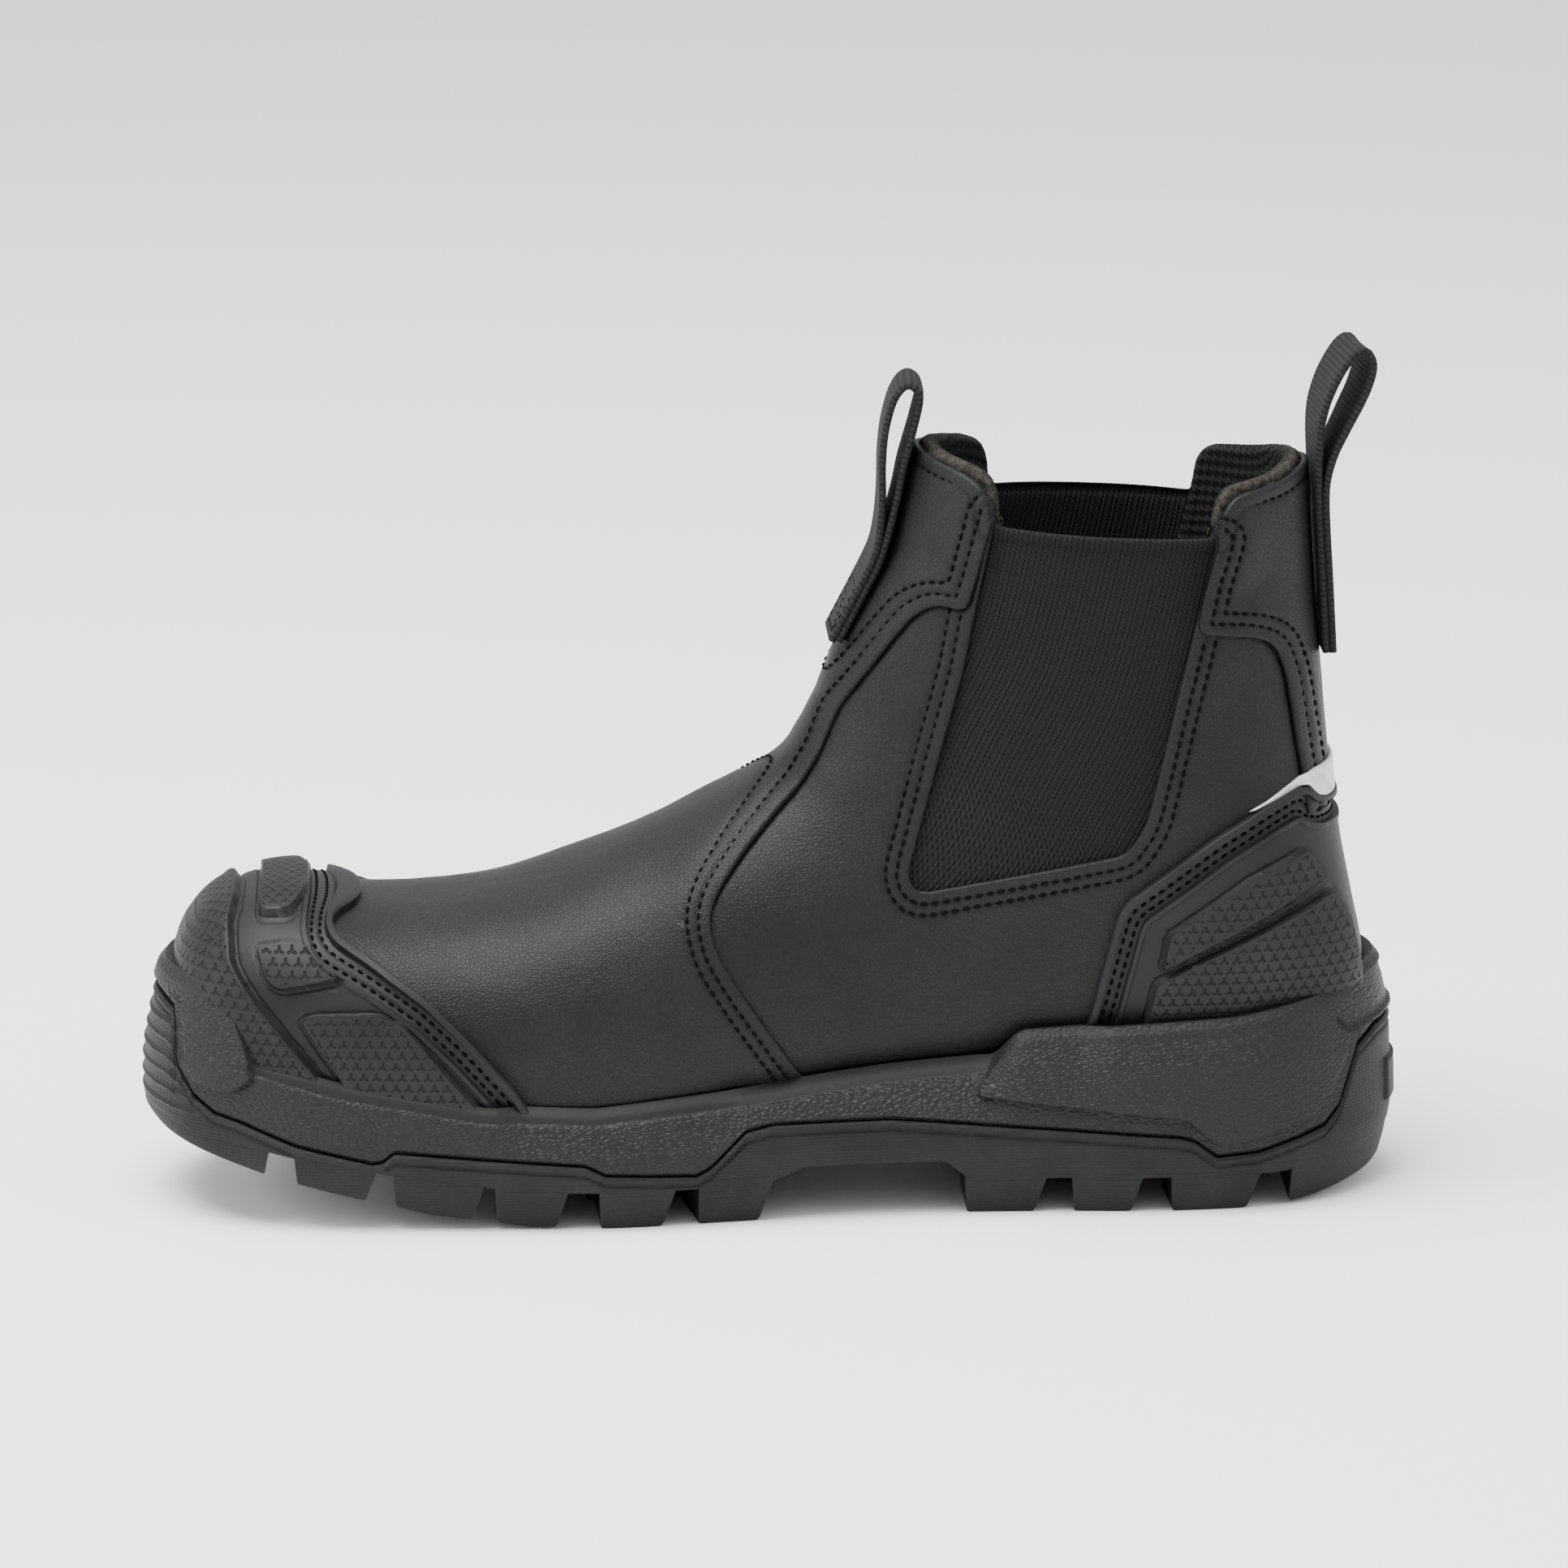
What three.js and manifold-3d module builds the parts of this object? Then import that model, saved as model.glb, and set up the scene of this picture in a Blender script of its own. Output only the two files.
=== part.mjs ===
// Steel toe pull-on work boot, right foot. Millimetres, +Z up, toe towards -X, inner (medial) side towards -Y.
// The origin lies on the ground, under the centre of the boot's overall box.
import * as THREE from "three";
import { mergeVertices } from "three/addons/utils/BufferGeometryUtils.js";
import Module from "manifold-3d";

const wasm = await Module();
wasm.setup();

// ---- driving dimensions ----
const BOOT_LENGTH = 309; // toe bumper to heel, over the sole
const BALL_WIDTH = 110; // widest part of the sole
const COLLAR_HEIGHT = 186; // ground to the highest leather, at the front tab
const FIT_GAP = 0.3; // clearance between neighbouring pieces
const LEATHER = 1.8; // vamp, quarters and backstay
const STEEL_CAP = 1.8;
const COUNTER = 1.6; // heel stiffener
const PADDING = 1.6; // foam behind the leather
const ELASTIC = 1.5;
const LINING = 1.5;
const GUARD = 2.3; // moulded toe and heel guards
const PAD_RISE = 1.4; // raised grip pads on the guards
const TAPE = 0.6; // reflective heel tape
const BOARD = 1.6; // insole board
const FOOTBED = 5;
const LUG_BAND = 24; // how far the edge lugs reach in from the sole's edge
const LUG_CHANNEL = 5; // groove between the edge lugs and the middle ones
const CENTRE_LUG_LENGTH = 15;
const LUG_FLANK = 1.6; // how much wider a lug is at its root, at each end
const POCKET_DEPTH = 5; // how far the guards drop behind the midsole's rim
const SHANK_LENGTH = 96;
const SHANK_WIDTH = 16;
const SHANK_THICK = 1.2;
const WEBBING_WIDTH = 20;
const WEBBING = 1.8; // thickness of the pull loops' webbing
const EDGE_STRIP = 8; // soft strip behind the steel cap's rear edge
const ELASTIC_TUCK = 6; // how far the elastic reaches behind the leather round its window
const LASTING_MARGIN = 23; // leather turned under the foot, in from the sole's edge

// The outlines and stations are drawn on a boot of these sizes, and scale with the driving dimensions.
const kx = BOOT_LENGTH / 309;
const ky = BALL_WIDTH / 110;
const kz = COLLAR_HEIGHT / 186;
const FAR = 200; // reach of a cutting prism to each side
const TOP = 230;
const FLOOR = -40;

// Distances of the upper's layers from the skin, which is the leather's outer face.
const leatherIn = -LEATHER;
const backingOut = leatherIn - FIT_GAP;
const liningOut = backingOut - Math.max(STEEL_CAP, COUNTER, PADDING, ELASTIC) - FIT_GAP;
const liningIn = liningOut - LINING;
const guardOut = FIT_GAP + GUARD;

// ---- stations of the skin, fanning from upright sections at the toe to level ones at the collar ----
// top x, top z, bottom x, bottom z, inner half width, outer half width, height share of the widest line,
// roundness above it, roundness below it
const STATIONS = [
  [-143, 50, -143, 43, 0.5, 0.5, 0.5, 0.8, 0.8],
  [-142.2, 58, -142.2, 38, 14, 8, 0.48, 0.76, 0.74],
  [-139, 66, -139, 33.5, 25, 18, 0.45, 0.72, 0.66],
  [-131.5, 72.3, -131.5, 29.5, 34, 29, 0.42, 0.72, 0.6],
  [-117, 75, -117, 26.2, 40.5, 41, 0.38, 0.74, 0.56],
  [-94, 72.5, -95, 23, 43.5, 48.5, 0.34, 0.78, 0.52],
  [-68, 75, -70, 20.5, 45, 52, 0.31, 0.84, 0.5],
  [-42, 84, -44, 21, 45, 53, 0.29, 0.88, 0.5],
  [-20, 94, -18, 24.5, 42, 51, 0.27, 0.9, 0.52],
  [-5, 101, 10, 30, 38, 46.5, 0.28, 0.9, 0.54],
  [4, 107, 40, 32.5, 35, 42, 0.32, 0.9, 0.56],
  [9, 114.5, 74, 33.5, 34, 39, 0.37, 0.9, 0.58],
  [13, 122.5, 108, 34, 34, 37, 0.42, 0.9, 0.62],
  [16, 131, 132, 38, 34.5, 36.5, 0.42, 0.92, 0.66],
  [19.5, 139.5, 141, 52, 35, 36.5, 0.42, 0.94, 0.72],
  [24, 148, 140.5, 72, 35, 36.5, 0.42, 0.96, 0.8],
  [28.5, 157, 138.5, 93, 34.5, 36, 0.45, 0.98, 0.88],
  [31.5, 167, 136.5, 116, 34, 35, 0.48, 1, 0.94],
  [33.8, 177, 135, 140, 33.5, 34.5, 0.5, 1, 1],
  [36, 187, 133.5, 164, 34, 35, 0.5, 1, 1],
  [38, 199, 131.5, 194, 35, 36, 0.5, 1, 1],
];
const AROUND = 20; // facets round each section

// ---- outlines seen from the side, as x and z, from the toe to the heel ----
const VAMP_EDGE = [
  [54, 172], [50.3, 157.4], [47.6, 147.8], [41.5, 149], [35.8, 146.3], [26.9, 134.7], [17, 121], [7.7, 102.9],
  [-6.5, 88.5], [-13.4, 80], [-15.2, 72], [-11, 62], [6.9, 35.5], [16, 20],
];
const GORE = [[52.8, 169], [33, 85], [35, 79.8], [84, 88.8], [90, 95.5], [108, 166]];
const BACKSTAY_EDGE = [
  [108, 166], [102.7, 143.5], [119, 141.5], [123.5, 137], [125.4, 129], [128, 114.7], [130.1, 104.2], [131, 96],
];
const FRONT_RIM = [[20, 187.5], [33, 186], [39.4, 183.4], [49, 181], [52, 178], [53.2, 169]];
const REAR_RIM = [[107.6, 166], [109.6, 174.4], [112.5, 176.8], [122, 178], [133, 181], [150, 186]];
const TOE_GUARD_EDGE = [
  [-98, 90], [-96.6, 76], [-98, 73.4], [-107, 72], [-105.8, 69], [-95.9, 63.6], [-83.2, 55.7], [-72.9, 46.4],
  [-62.7, 35.1], [-54, 22],
];
const HEEL_GUARD_EDGE = [
  [72, 30], [76.8, 45.6], [80, 58.7], [85.4, 77], [107.1, 93.3], [119.1, 99.7], [129.5, 103.6], [133, 98.6],
  [160, 98.6],
];
const MIDSOLE_RIM = [
  [-160, 59.5], [-143, 60], [-136.5, 59], [-131.5, 55], [-128.5, 48.5], [-125.5, 42.5], [-104, 37.3],
  [-70.7, 31.4], [-43, 30.1], [-11.4, 32.6], [28.4, 37], [54.2, 38.8], [61, 45.4], [113.7, 48.9], [138.5, 53],
  [147, 56.8], [160, 57],
];
const OUTSOLE_TOP = [
  [-160, 52], [-149.5, 50], [-145.5, 38], [-141, 31.5], [-130, 27.7], [-116, 22], [-96.5, 17.6], [-92, 20.4],
  [-46, 17.2], [-41, 14.2], [-18, 13], [-7, 23.4], [0, 25.2], [44, 23.7], [99, 19.4], [108.5, 14.2], [119, 15],
  [136, 20], [141, 26.4], [146, 36], [160, 40],
];
const SOLE_BODY = [
  [-160, 25], [-148, 23.5], [-139, 20.5], [-123, 18.5], [-108, 15.5], [-83, 11], [-60, 8], [-40, 7.5], [-2, 7.5],
  [8, 13.5], [42, 13.5], [48, 7], [123, 7], [140, 8.5], [160, 14],
];
const TREAD = [
  [-160, 27], [-148, 21], [-124, 14], [-108, 10], [-83, 4], [-60, 1], [-45, 0], [120, 0], [134, 1.5], [150, 4.5],
  [160, 6],
];
// First and last x of each edge lug, and the middle of each centre lug and arch rib.
const EDGE_LUGS = [
  [-152, -124], [-116, -99.5], [-92, -73], [-67.5, -52], [-42, -25.5], [-17.5, -2], [47, 64.5], [73, 88],
  [98, 117.5], [128, 152],
];
const CENTRE_LUGS = [-104, -83, -61, -37, -12, 58, 82, 107];
const ARCH_RIBS = [14, 22, 30, 38];
const ARCH_RIB = { thick: 3, half: 12, drop: 3 };
const CAP_EDGE = [[-92, 90], [-90, 60], [-80, 20]];
const COUNTER_EDGE = [[78, 20], [80, 62], [112, 96], [170, 100]];
const LINING_SEAM = 62; // x of the side seam between the two linings, below the elastic
const TAPE_OUTLINE = [
  [113, 97.4], [124, 103], [131, 106.4], [170, 108.4], [170, 99.2], [133.4, 99.2], [130, 104.4], [119, 100.4],
];
const TOE_PADS = [
  [[-170, 90], [-127.6, 90], [-128.2, 74], [-130, 70], [-129, 63], [-124.6, 57], [-119, 50.5], [-109, 38],
    [-104, 30], [-170, 30]],
  [[-122.5, 90], [-105, 90], [-104.5, 76.6], [-107.4, 74], [-113.6, 74], [-117, 71.6], [-124, 71.2], [-123.4, 76]],
  [[-124.4, 66.6], [-117, 67.6], [-109.4, 66.2], [-101.6, 60.4], [-119, 58.2], [-122, 60]],
  [[-114.3, 52], [-110.9, 53.2], [-96, 53.2], [-90.1, 51.6], [-86, 47.8], [-75.8, 36], [-68, 28], [-98, 28]],
];
const HEEL_PADS = [
  [[96.3, 70], [115.1, 83], [128.6, 88.5], [133.2, 81], [123.3, 75.6], [94.6, 60.6]],
  [[93.4, 58], [107.4, 65], [134.6, 77.4], [137.6, 70], [139.5, 57], [139.5, 40], [89, 40]],
  [[139.6, 92], [150, 92], [150, 74], [141, 74], [140.4, 85]],
];
// The sole seen from below, as x and y, round from the toe along the inner side.
const PLAN = [
  [-153.8, -5], [-149.5, -23], [-139, -37], [-117, -47], [-90, -50], [-60, -51.3], [-35, -50.8], [-5, -46],
  [30, -41.5], [65, -41], [100, -42], [130, -36.5], [148, -21], [155, 0], [148, 22], [130, 38], [100, 43.5],
  [65, 45.5], [30, 49.5], [-5, 55], [-35, 58.4], [-60, 58.7], [-90, 55.5], [-117, 47.5], [-137, 33.5],
  [-149.5, 14],
];
const PLAN_STEPS = 44;
// Height of each ring of the sole's wall, and how far it stands in from the plan outline.
const WALL = [[-8, 5], [2, 4], [9, 1.6], [18, 0], [38, 0.6], [50, 3], [64, 7]];

// Each loop's webbing, as distance out from the skin and height: up the outer ply, over, and down the inner one.
const outerPly = FIT_GAP + WEBBING * 1.48;
const innerPly = FIT_GAP + WEBBING * 0.52;
const FRONT_LOOP = {
  foot: 137, root: 153,
  path: [
    [outerPly, 150], [outerPly, 158], [outerPly + 0.8, 164], [outerPly + 3.2, 172], [outerPly + 6.4, 182],
    [outerPly + 7.4, 190], [outerPly + 5.4, 197.4], [outerPly + 1, 200.8], [innerPly - 0.6, 197.8],
    [innerPly - 0.4, 190], [innerPly + 0.2, 180], [innerPly, 172], [innerPly, 164], [innerPly, 158], [innerPly, 150],
  ],
};
const REAR_LOOP = {
  foot: 133, root: 160,
  path: [
    [outerPly, 157], [outerPly, 168], [outerPly + 0.6, 176], [outerPly + 3.4, 183], [outerPly + 8.2, 190],
    [outerPly + 13, 198], [outerPly + 14.6, 204.5], [outerPly + 12, 208.6], [outerPly + 7.6, 207.4],
    [innerPly + 3.4, 201], [innerPly + 1, 193], [innerPly + 0.4, 184], [innerPly, 176], [innerPly, 168],
    [innerPly, 157],
  ],
};

// ---- solids ----
function solidOf(geometry) {
  const plain = geometry.index ? geometry.toNonIndexed() : geometry.clone();
  plain.deleteAttribute("normal");
  plain.deleteAttribute("uv");
  const merged = mergeVertices(plain, 1e-3);
  const mesh = new wasm.Mesh({
    numProp: 3,
    vertProperties: new Float32Array(merged.attributes.position.array),
    triVerts: new Uint32Array(merged.index.array),
  });
  return new wasm.Manifold(mesh);
}

function geometryOf(solid) {
  const mesh = solid.getMesh();
  const corners = new Float32Array(mesh.numVert * 3);
  for (let i = 0; i < mesh.numVert; i++) {
    corners.set(mesh.vertProperties.subarray(i * mesh.numProp, i * mesh.numProp + 3), i * 3);
  }
  const geometry = new THREE.BufferGeometry();
  geometry.setAttribute("position", new THREE.BufferAttribute(corners, 3));
  geometry.setIndex(new THREE.BufferAttribute(new Uint32Array(mesh.triVerts), 1));
  geometry.computeVertexNormals();
  return geometry;
}

// A prism across the boot, from an outline seen from the side.
function across(points, halfWidth = FAR) {
  const shape = new THREE.Shape(points.map(([x, z]) => new THREE.Vector2(x * kx, z * kz)));
  const geometry = new THREE.ExtrudeGeometry(shape, { depth: 2 * halfWidth, bevelEnabled: false });
  return solidOf(geometry.rotateX(Math.PI / 2).translate(0, halfWidth, 0));
}

function block(x0, x1, y0, y1, z0, z1) {
  const geometry = new THREE.BoxGeometry(x1 - x0, y1 - y0, z1 - z0);
  return solidOf(geometry.translate((x0 + x1) / 2, (y0 + y1) / 2, (z0 + z1) / 2));
}

const up = (curve, rise) => curve.map(([x, z]) => [x, z + rise / kz]);
// The curve moved sideways by a clearance: to its left, seen with x to the right and z up.
function aside(curve, by) {
  return curve.map(([x, z], i) => {
    const [ax, az] = curve[Math.max(i - 1, 0)];
    const [bx, bz] = curve[Math.min(i + 1, curve.length - 1)];
    const length = Math.hypot(bx - ax, bz - az);
    return [x - ((bz - az) / length) * by / kx, z + ((bx - ax) / length) * by / kz];
  });
}
const above = (curve) => across([[curve.at(-1)[0], TOP], [curve[0][0], TOP], ...curve]);
const below = (curve) => across([...curve, [curve.at(-1)[0], FLOOR], [curve[0][0], FLOOR]]);
const between = (low, high) => above(low).intersect(below(high));
// All of the boot on the toe's side of an edge that runs downwards.
const ahead = (edge) => across([[edge[0][0], TOP], ...edge, [edge.at(-1)[0], FLOOR], [-170, FLOOR], [-170, TOP]]);

// A closed surface through equal rings of points, with a flat or pointed end at each end.
function loft(rings) {
  const around = rings[0].length;
  const centre = (ring) => ring.reduce((sum, p) => sum.add(p), new THREE.Vector3()).divideScalar(around);
  const points = [...rings.flat(), centre(rings[0]), centre(rings.at(-1))];
  const lastRing = (rings.length - 1) * around;
  const index = [];
  for (let j = 0; j < around; j++) {
    const next = (j + 1) % around;
    for (let start = 0; start < lastRing; start += around) {
      index.push(start + j, start + next, start + around + j);
      index.push(start + next, start + around + next, start + around + j);
    }
    index.push(points.length - 2, next, j, points.length - 1, lastRing + j, lastRing + next);
  }
  const geometry = new THREE.BufferGeometry().setFromPoints(points);
  geometry.setIndex(index);
  return solidOf(geometry);
}

// ---- the skin, and solids bounded by faces parallel to it ----
function skinPoint([tx, tz, bx, bz, inner, outer, widest, over, under], angle) {
  const c = Math.cos(angle);
  const s = Math.sin(angle);
  const power = c >= 0 ? over : under;
  const share = widest + (c >= 0 ? 1 - widest : widest) * Math.sign(c) * Math.abs(c) ** power;
  const y = Math.sign(s) * (s >= 0 ? outer : inner) * Math.abs(s) ** power;
  return new THREE.Vector3((bx + share * (tx - bx)) * kx, y * ky, (bz + share * (tz - bz)) * kz);
}

const skinRings = STATIONS.map((station) =>
  Array.from({ length: AROUND }, (_, j) => skinPoint(station, (-j / AROUND) * 2 * Math.PI)),
);
const skinNormals = skinRings.map((ring, i) =>
  ring.map((_, j) => {
    if (i === 0) return new THREE.Vector3(-1, 0, 0);
    const along = new THREE.Vector3().subVectors(skinRings[Math.min(i + 1, skinRings.length - 1)][j], skinRings[i - 1][j]);
    const round = new THREE.Vector3().subVectors(ring[(j + 1) % AROUND], ring[(j + AROUND - 1) % AROUND]);
    return round.cross(along).normalize();
  }),
);

const skins = new Map();
// The closed solid whose face lies the given distance outside the skin.
function skin(distance) {
  if (!skins.has(distance)) {
    const moved = (i) => skinRings[i].map((p, j) => p.clone().addScaledVector(skinNormals[i][j], distance));
    skins.set(distance, loft(skinRings.map((_, i) => moved(i))));
  }
  return skins.get(distance);
}
const layer = (inside, outside) => skin(outside).subtract(skin(inside));

// x of the skin on the boot's middle line at a height, at the front or at the back of the shaft.
function shaftX(height, end) {
  const line = STATIONS.map((station) => (end === "front" ? station.slice(0, 2) : station.slice(2, 4)));
  const found = line.findIndex(([, z], n) => n > 12 && z >= height);
  const i = found < 0 ? line.length - 1 : found;
  const share = (height - line[i - 1][1]) / (line[i][1] - line[i - 1][1]);
  return line[i - 1][0] + share * (line[i][0] - line[i - 1][0]);
}

// ---- the sole's plan ----
const planPoints = new THREE.CatmullRomCurve3(
  PLAN.map(([x, y]) => new THREE.Vector3(x * kx, y * ky, 0)), true, "centripetal",
).getPoints(PLAN_STEPS).slice(0, PLAN_STEPS);

// The plan outline moved in square to itself.
function planInset(by, z) {
  return planPoints.map((p, i) => {
    const a = planPoints[(i + PLAN_STEPS - 1) % PLAN_STEPS];
    const b = planPoints[(i + 1) % PLAN_STEPS];
    const inward = new THREE.Vector3(a.y - b.y, b.x - a.x, 0).normalize();
    return p.clone().addScaledVector(inward, by).setZ(z);
  });
}
// An upright prism of the plan outline drawn in towards the middle line.
function planCore(by) {
  const halfLength = BOOT_LENGTH / 2;
  const halfWidth = BALL_WIDTH / 2;
  const outline = planPoints.map((p) => new THREE.Vector2(p.x * (1 - by / halfLength), p.y * (1 - by / halfWidth)));
  const geometry = new THREE.ExtrudeGeometry(new THREE.Shape(outline), { depth: TOP - FLOOR, bevelEnabled: false });
  return solidOf(geometry.translate(0, 0, FLOOR));
}
const soleBlock = loft(WALL.map(([z, inset]) => planInset(inset, z * kz)));

// ---- regions of the upper ----
const UPPER_BOTTOM = [[-160, 33], ...STATIONS.slice(3, 14).map((station) => [station[2], station[3]]), [160, 40]];
const boardLow = LEATHER + FIT_GAP;
const boardHigh = boardLow + BOARD;
const belowCollar = across([
  [-170, FLOOR], [-170, TOP], [20, TOP], ...FRONT_RIM, ...REAR_RIM, [170, 186], [170, FLOOR],
]);
const overBoard = above(up(UPPER_BOTTOM, boardHigh + FIT_GAP));
const goreWindow = across([...GORE, [108, TOP], [52.8, TOP]]);
const tucked = (by) => [
  [GORE[0][0] - by, 168.8], [GORE[1][0] - by, 84], [33, GORE[2][1] - by], [86, GORE[3][1] - by],
  [GORE[4][0] + by, 94.5], [GORE[5][0] + by, 165.8],
];
const elasticRegion = across(tucked(ELASTIC_TUCK));
const roomOutline = tucked(ELASTIC_TUCK + 1.5 * FIT_GAP);
const elasticRoom = across([[roomOutline[0][0], TOP], ...roomOutline, [roomOutline.at(-1)[0], TOP]]);
const sideHalf = (side) => {
  const [near, far] = side < 0 ? [-FAR, -FIT_GAP / 2] : [FIT_GAP / 2, FAR];
  return block(-FAR, FAR, near, far, FLOOR, TOP * 2);
};
const lastingHole = planCore(LASTING_MARGIN).intersect(below(up(UPPER_BOTTOM, LEATHER * 4)));
const leather = layer(leatherIn, 0).intersect(belowCollar).subtract(lastingHole);
const backing = (thick) => layer(backingOut - thick, backingOut).intersect(overBoard).intersect(belowCollar);
const lining = layer(liningIn, liningOut).intersect(overBoard).intersect(belowCollar).subtract(elasticRoom);
const backstayRegion = (by) => across([...aside(BACKSTAY_EDGE, -by), [170, 96 - by], [170, TOP], [107.9 - by, TOP]]);
const capRegion = (by) => ahead(CAP_EDGE.map(([x, z]) => [x + by, z]));
const counterRegion = (by) => across([...aside(COUNTER_EDGE, by), [170, 20]]);
const aheadOfSeam = (x) => ahead([[x, TOP], [x, FLOOR]]);

// ---- the upper ----
const vamp = () => leather.intersect(ahead(VAMP_EDGE)).subtract(goreWindow);
const backstay = () => leather.intersect(backstayRegion(0)).subtract(goreWindow);
function quarter(side) {
  return leather.intersect(sideHalf(side))
    .subtract(ahead(aside(VAMP_EDGE, FIT_GAP)))
    .subtract(backstayRegion(FIT_GAP))
    .subtract(goreWindow);
}
const elastic = (side) => layer(backingOut - ELASTIC, backingOut).intersect(elasticRegion).intersect(sideHalf(side));
const steelToeCap = () => backing(STEEL_CAP).intersect(capRegion(0));
const capEdgeStrip = () => backing(PADDING).intersect(capRegion(EDGE_STRIP)).subtract(capRegion(FIT_GAP));
const heelCounter = () => backing(COUNTER).intersect(counterRegion(0));
const padding = () => backing(PADDING).subtract(elasticRoom);
const vampPadding = () => padding().subtract(capRegion(EDGE_STRIP + FIT_GAP)).intersect(aheadOfSeam(LINING_SEAM));
const collarPadding = () => padding().subtract(counterRegion(FIT_GAP)).subtract(aheadOfSeam(LINING_SEAM + FIT_GAP));
const frontLining = () => lining.intersect(aheadOfSeam(LINING_SEAM));
const rearLining = () => lining.subtract(aheadOfSeam(LINING_SEAM + FIT_GAP));

function reflectiveTape() {
  return layer(FIT_GAP, FIT_GAP + TAPE).intersect(across(TAPE_OUTLINE));
}

// A moulded guard: a shell that drops into the midsole's pocket, with raised grip pads above the rim.
function guard(region, pads) {
  let solid = layer(FIT_GAP, guardOut).intersect(region).intersect(above(up(MIDSOLE_RIM, -POCKET_DEPTH)));
  const raised = layer(guardOut - GUARD / 4, guardOut + PAD_RISE).intersect(above(up(MIDSOLE_RIM, 2 * FIT_GAP)));
  for (const pad of pads) solid = solid.add(raised.intersect(across(pad)));
  return solid;
}
const heelGuardRegion = (by) => across([[72 - by, FLOOR], ...aside(HEEL_GUARD_EDGE, by), [160, FLOOR]]);
const toeGuard = () => guard(ahead(TOE_GUARD_EDGE), TOE_PADS);
const heelGuard = () => guard(heelGuardRegion(0), HEEL_PADS);

// ---- under the foot ----
function insoleBoard() {
  return skin(backingOut).intersect(between(up(UPPER_BOTTOM, boardLow), up(UPPER_BOTTOM, boardHigh)));
}
function footbed() {
  const low = boardHigh + FIT_GAP;
  return skin(liningIn - 2 * FIT_GAP).intersect(between(up(UPPER_BOTTOM, low), up(UPPER_BOTTOM, low + FOOTBED)));
}
function bottomFiller() {
  return layer(leatherIn, 0)
    .intersect(planCore(LASTING_MARGIN + FIT_GAP))
    .intersect(below(up(UPPER_BOTTOM, LEATHER * 4)));
}
// The shank, or the slot it lies in, which is larger all round by the clearance.
function steelShank(clearance) {
  const middle = 42 * kx;
  const reach = SHANK_LENGTH / 2 + clearance;
  const half = SHANK_WIDTH / 2 + clearance;
  return between(up(UPPER_BOTTOM, -FIT_GAP - SHANK_THICK - clearance), up(UPPER_BOTTOM, clearance - FIT_GAP))
    .intersect(block(middle - reach, middle + reach, -half, half, FLOOR, TOP));
}

// ---- the sole ----
function midsole() {
  const pockets = skin(guardOut + FIT_GAP)
    .intersect(ahead(aside(TOE_GUARD_EDGE, FIT_GAP)).add(heelGuardRegion(FIT_GAP)))
    .intersect(above(up(MIDSOLE_RIM, -POCKET_DEPTH - FIT_GAP)));
  return soleBlock.intersect(between(up(OUTSOLE_TOP, FIT_GAP), MIDSOLE_RIM))
    .subtract(skin(FIT_GAP))
    .subtract(pockets)
    .subtract(steelShank(FIT_GAP));
}
function lug(from, to) {
  const root = 20;
  return across([
    [from, FLOOR], [to, FLOOR], [to, 0], [to + LUG_FLANK, root], [from - LUG_FLANK, root], [from, 0],
  ]);
}
function outsole() {
  const treadLevel = between(TREAD, up(SOLE_BODY, 1));
  const edgeBand = soleBlock.subtract(planCore(LUG_BAND)).intersect(treadLevel);
  const centreBand = planCore(LUG_BAND + LUG_CHANNEL).intersect(treadLevel);
  const half = CENTRE_LUG_LENGTH / 2;
  let solid = soleBlock.intersect(between(SOLE_BODY, OUTSOLE_TOP));
  for (const [from, to] of EDGE_LUGS) solid = solid.add(edgeBand.intersect(lug(from, to)));
  for (const x of CENTRE_LUGS) solid = solid.add(centreBand.intersect(lug(x - half, x + half)));
  for (const x of ARCH_RIBS) {
    const rib = block(
      (x - ARCH_RIB.thick / 2) * kx, (x + ARCH_RIB.thick / 2) * kx, -ARCH_RIB.half, ARCH_RIB.half,
      13.5 * kz - ARCH_RIB.drop, 14.5 * kz,
    );
    solid = solid.add(rib);
  }
  return solid;
}

// ---- pull loops: webbing folded in the boot's middle plane ----
// A flat plate of the webbing's width, following a line of points.
function webbingAlong(points) {
  const sides = [1, -1].map((side) =>
    points.map((p, i) => {
      const a = points[Math.max(i - 1, 0)];
      const b = points[Math.min(i + 1, points.length - 1)];
      const n = new THREE.Vector2(a.y - b.y, b.x - a.x).normalize();
      return p.clone().addScaledVector(n, (side * WEBBING) / 2);
    }),
  );
  const shape = new THREE.Shape([...sides[0], ...sides[1].reverse()]);
  const geometry = new THREE.ExtrudeGeometry(shape, { depth: WEBBING_WIDTH, bevelEnabled: false });
  return solidOf(geometry.rotateX(Math.PI / 2).translate(0, WEBBING_WIDTH / 2, 0));
}
function pullLoop({ path, root }, end) {
  const outwards = end === "front" ? -1 : 1;
  const points = path.map(([out, z]) => new THREE.Vector3(shaftX(z, end) * kx + outwards * out, z * kz, 0));
  const curve = new THREE.CatmullRomCurve3(points, false, "centripetal").getPoints(path.length * 2);
  const line = curve.map((p) => new THREE.Vector2(p.x, p.y));
  const half = Math.floor(line.length / 2);
  return webbingAlong(line.slice(0, half + 1)).add(webbingAlong(line.slice(half)))
    .intersect(block(-FAR, FAR, -FAR, FAR, root * kz + FIT_GAP / 2, TOP * 2))
    .subtract(skin(FIT_GAP));
}
// The stitched-down end of a loop: two plies of webbing on the leather.
function loopFoot({ foot, root }, end) {
  const [x0, x1] = end === "front" ? [0, 80] : [80, 170];
  const plies = layer(FIT_GAP, FIT_GAP + 2 * WEBBING);
  const [low, high] = [foot * kz, root * kz - FIT_GAP / 2];
  return plies.intersect(block(x0 * kx, x1 * kx, -WEBBING_WIDTH / 2, WEBBING_WIDTH / 2, low, high));
}

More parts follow.
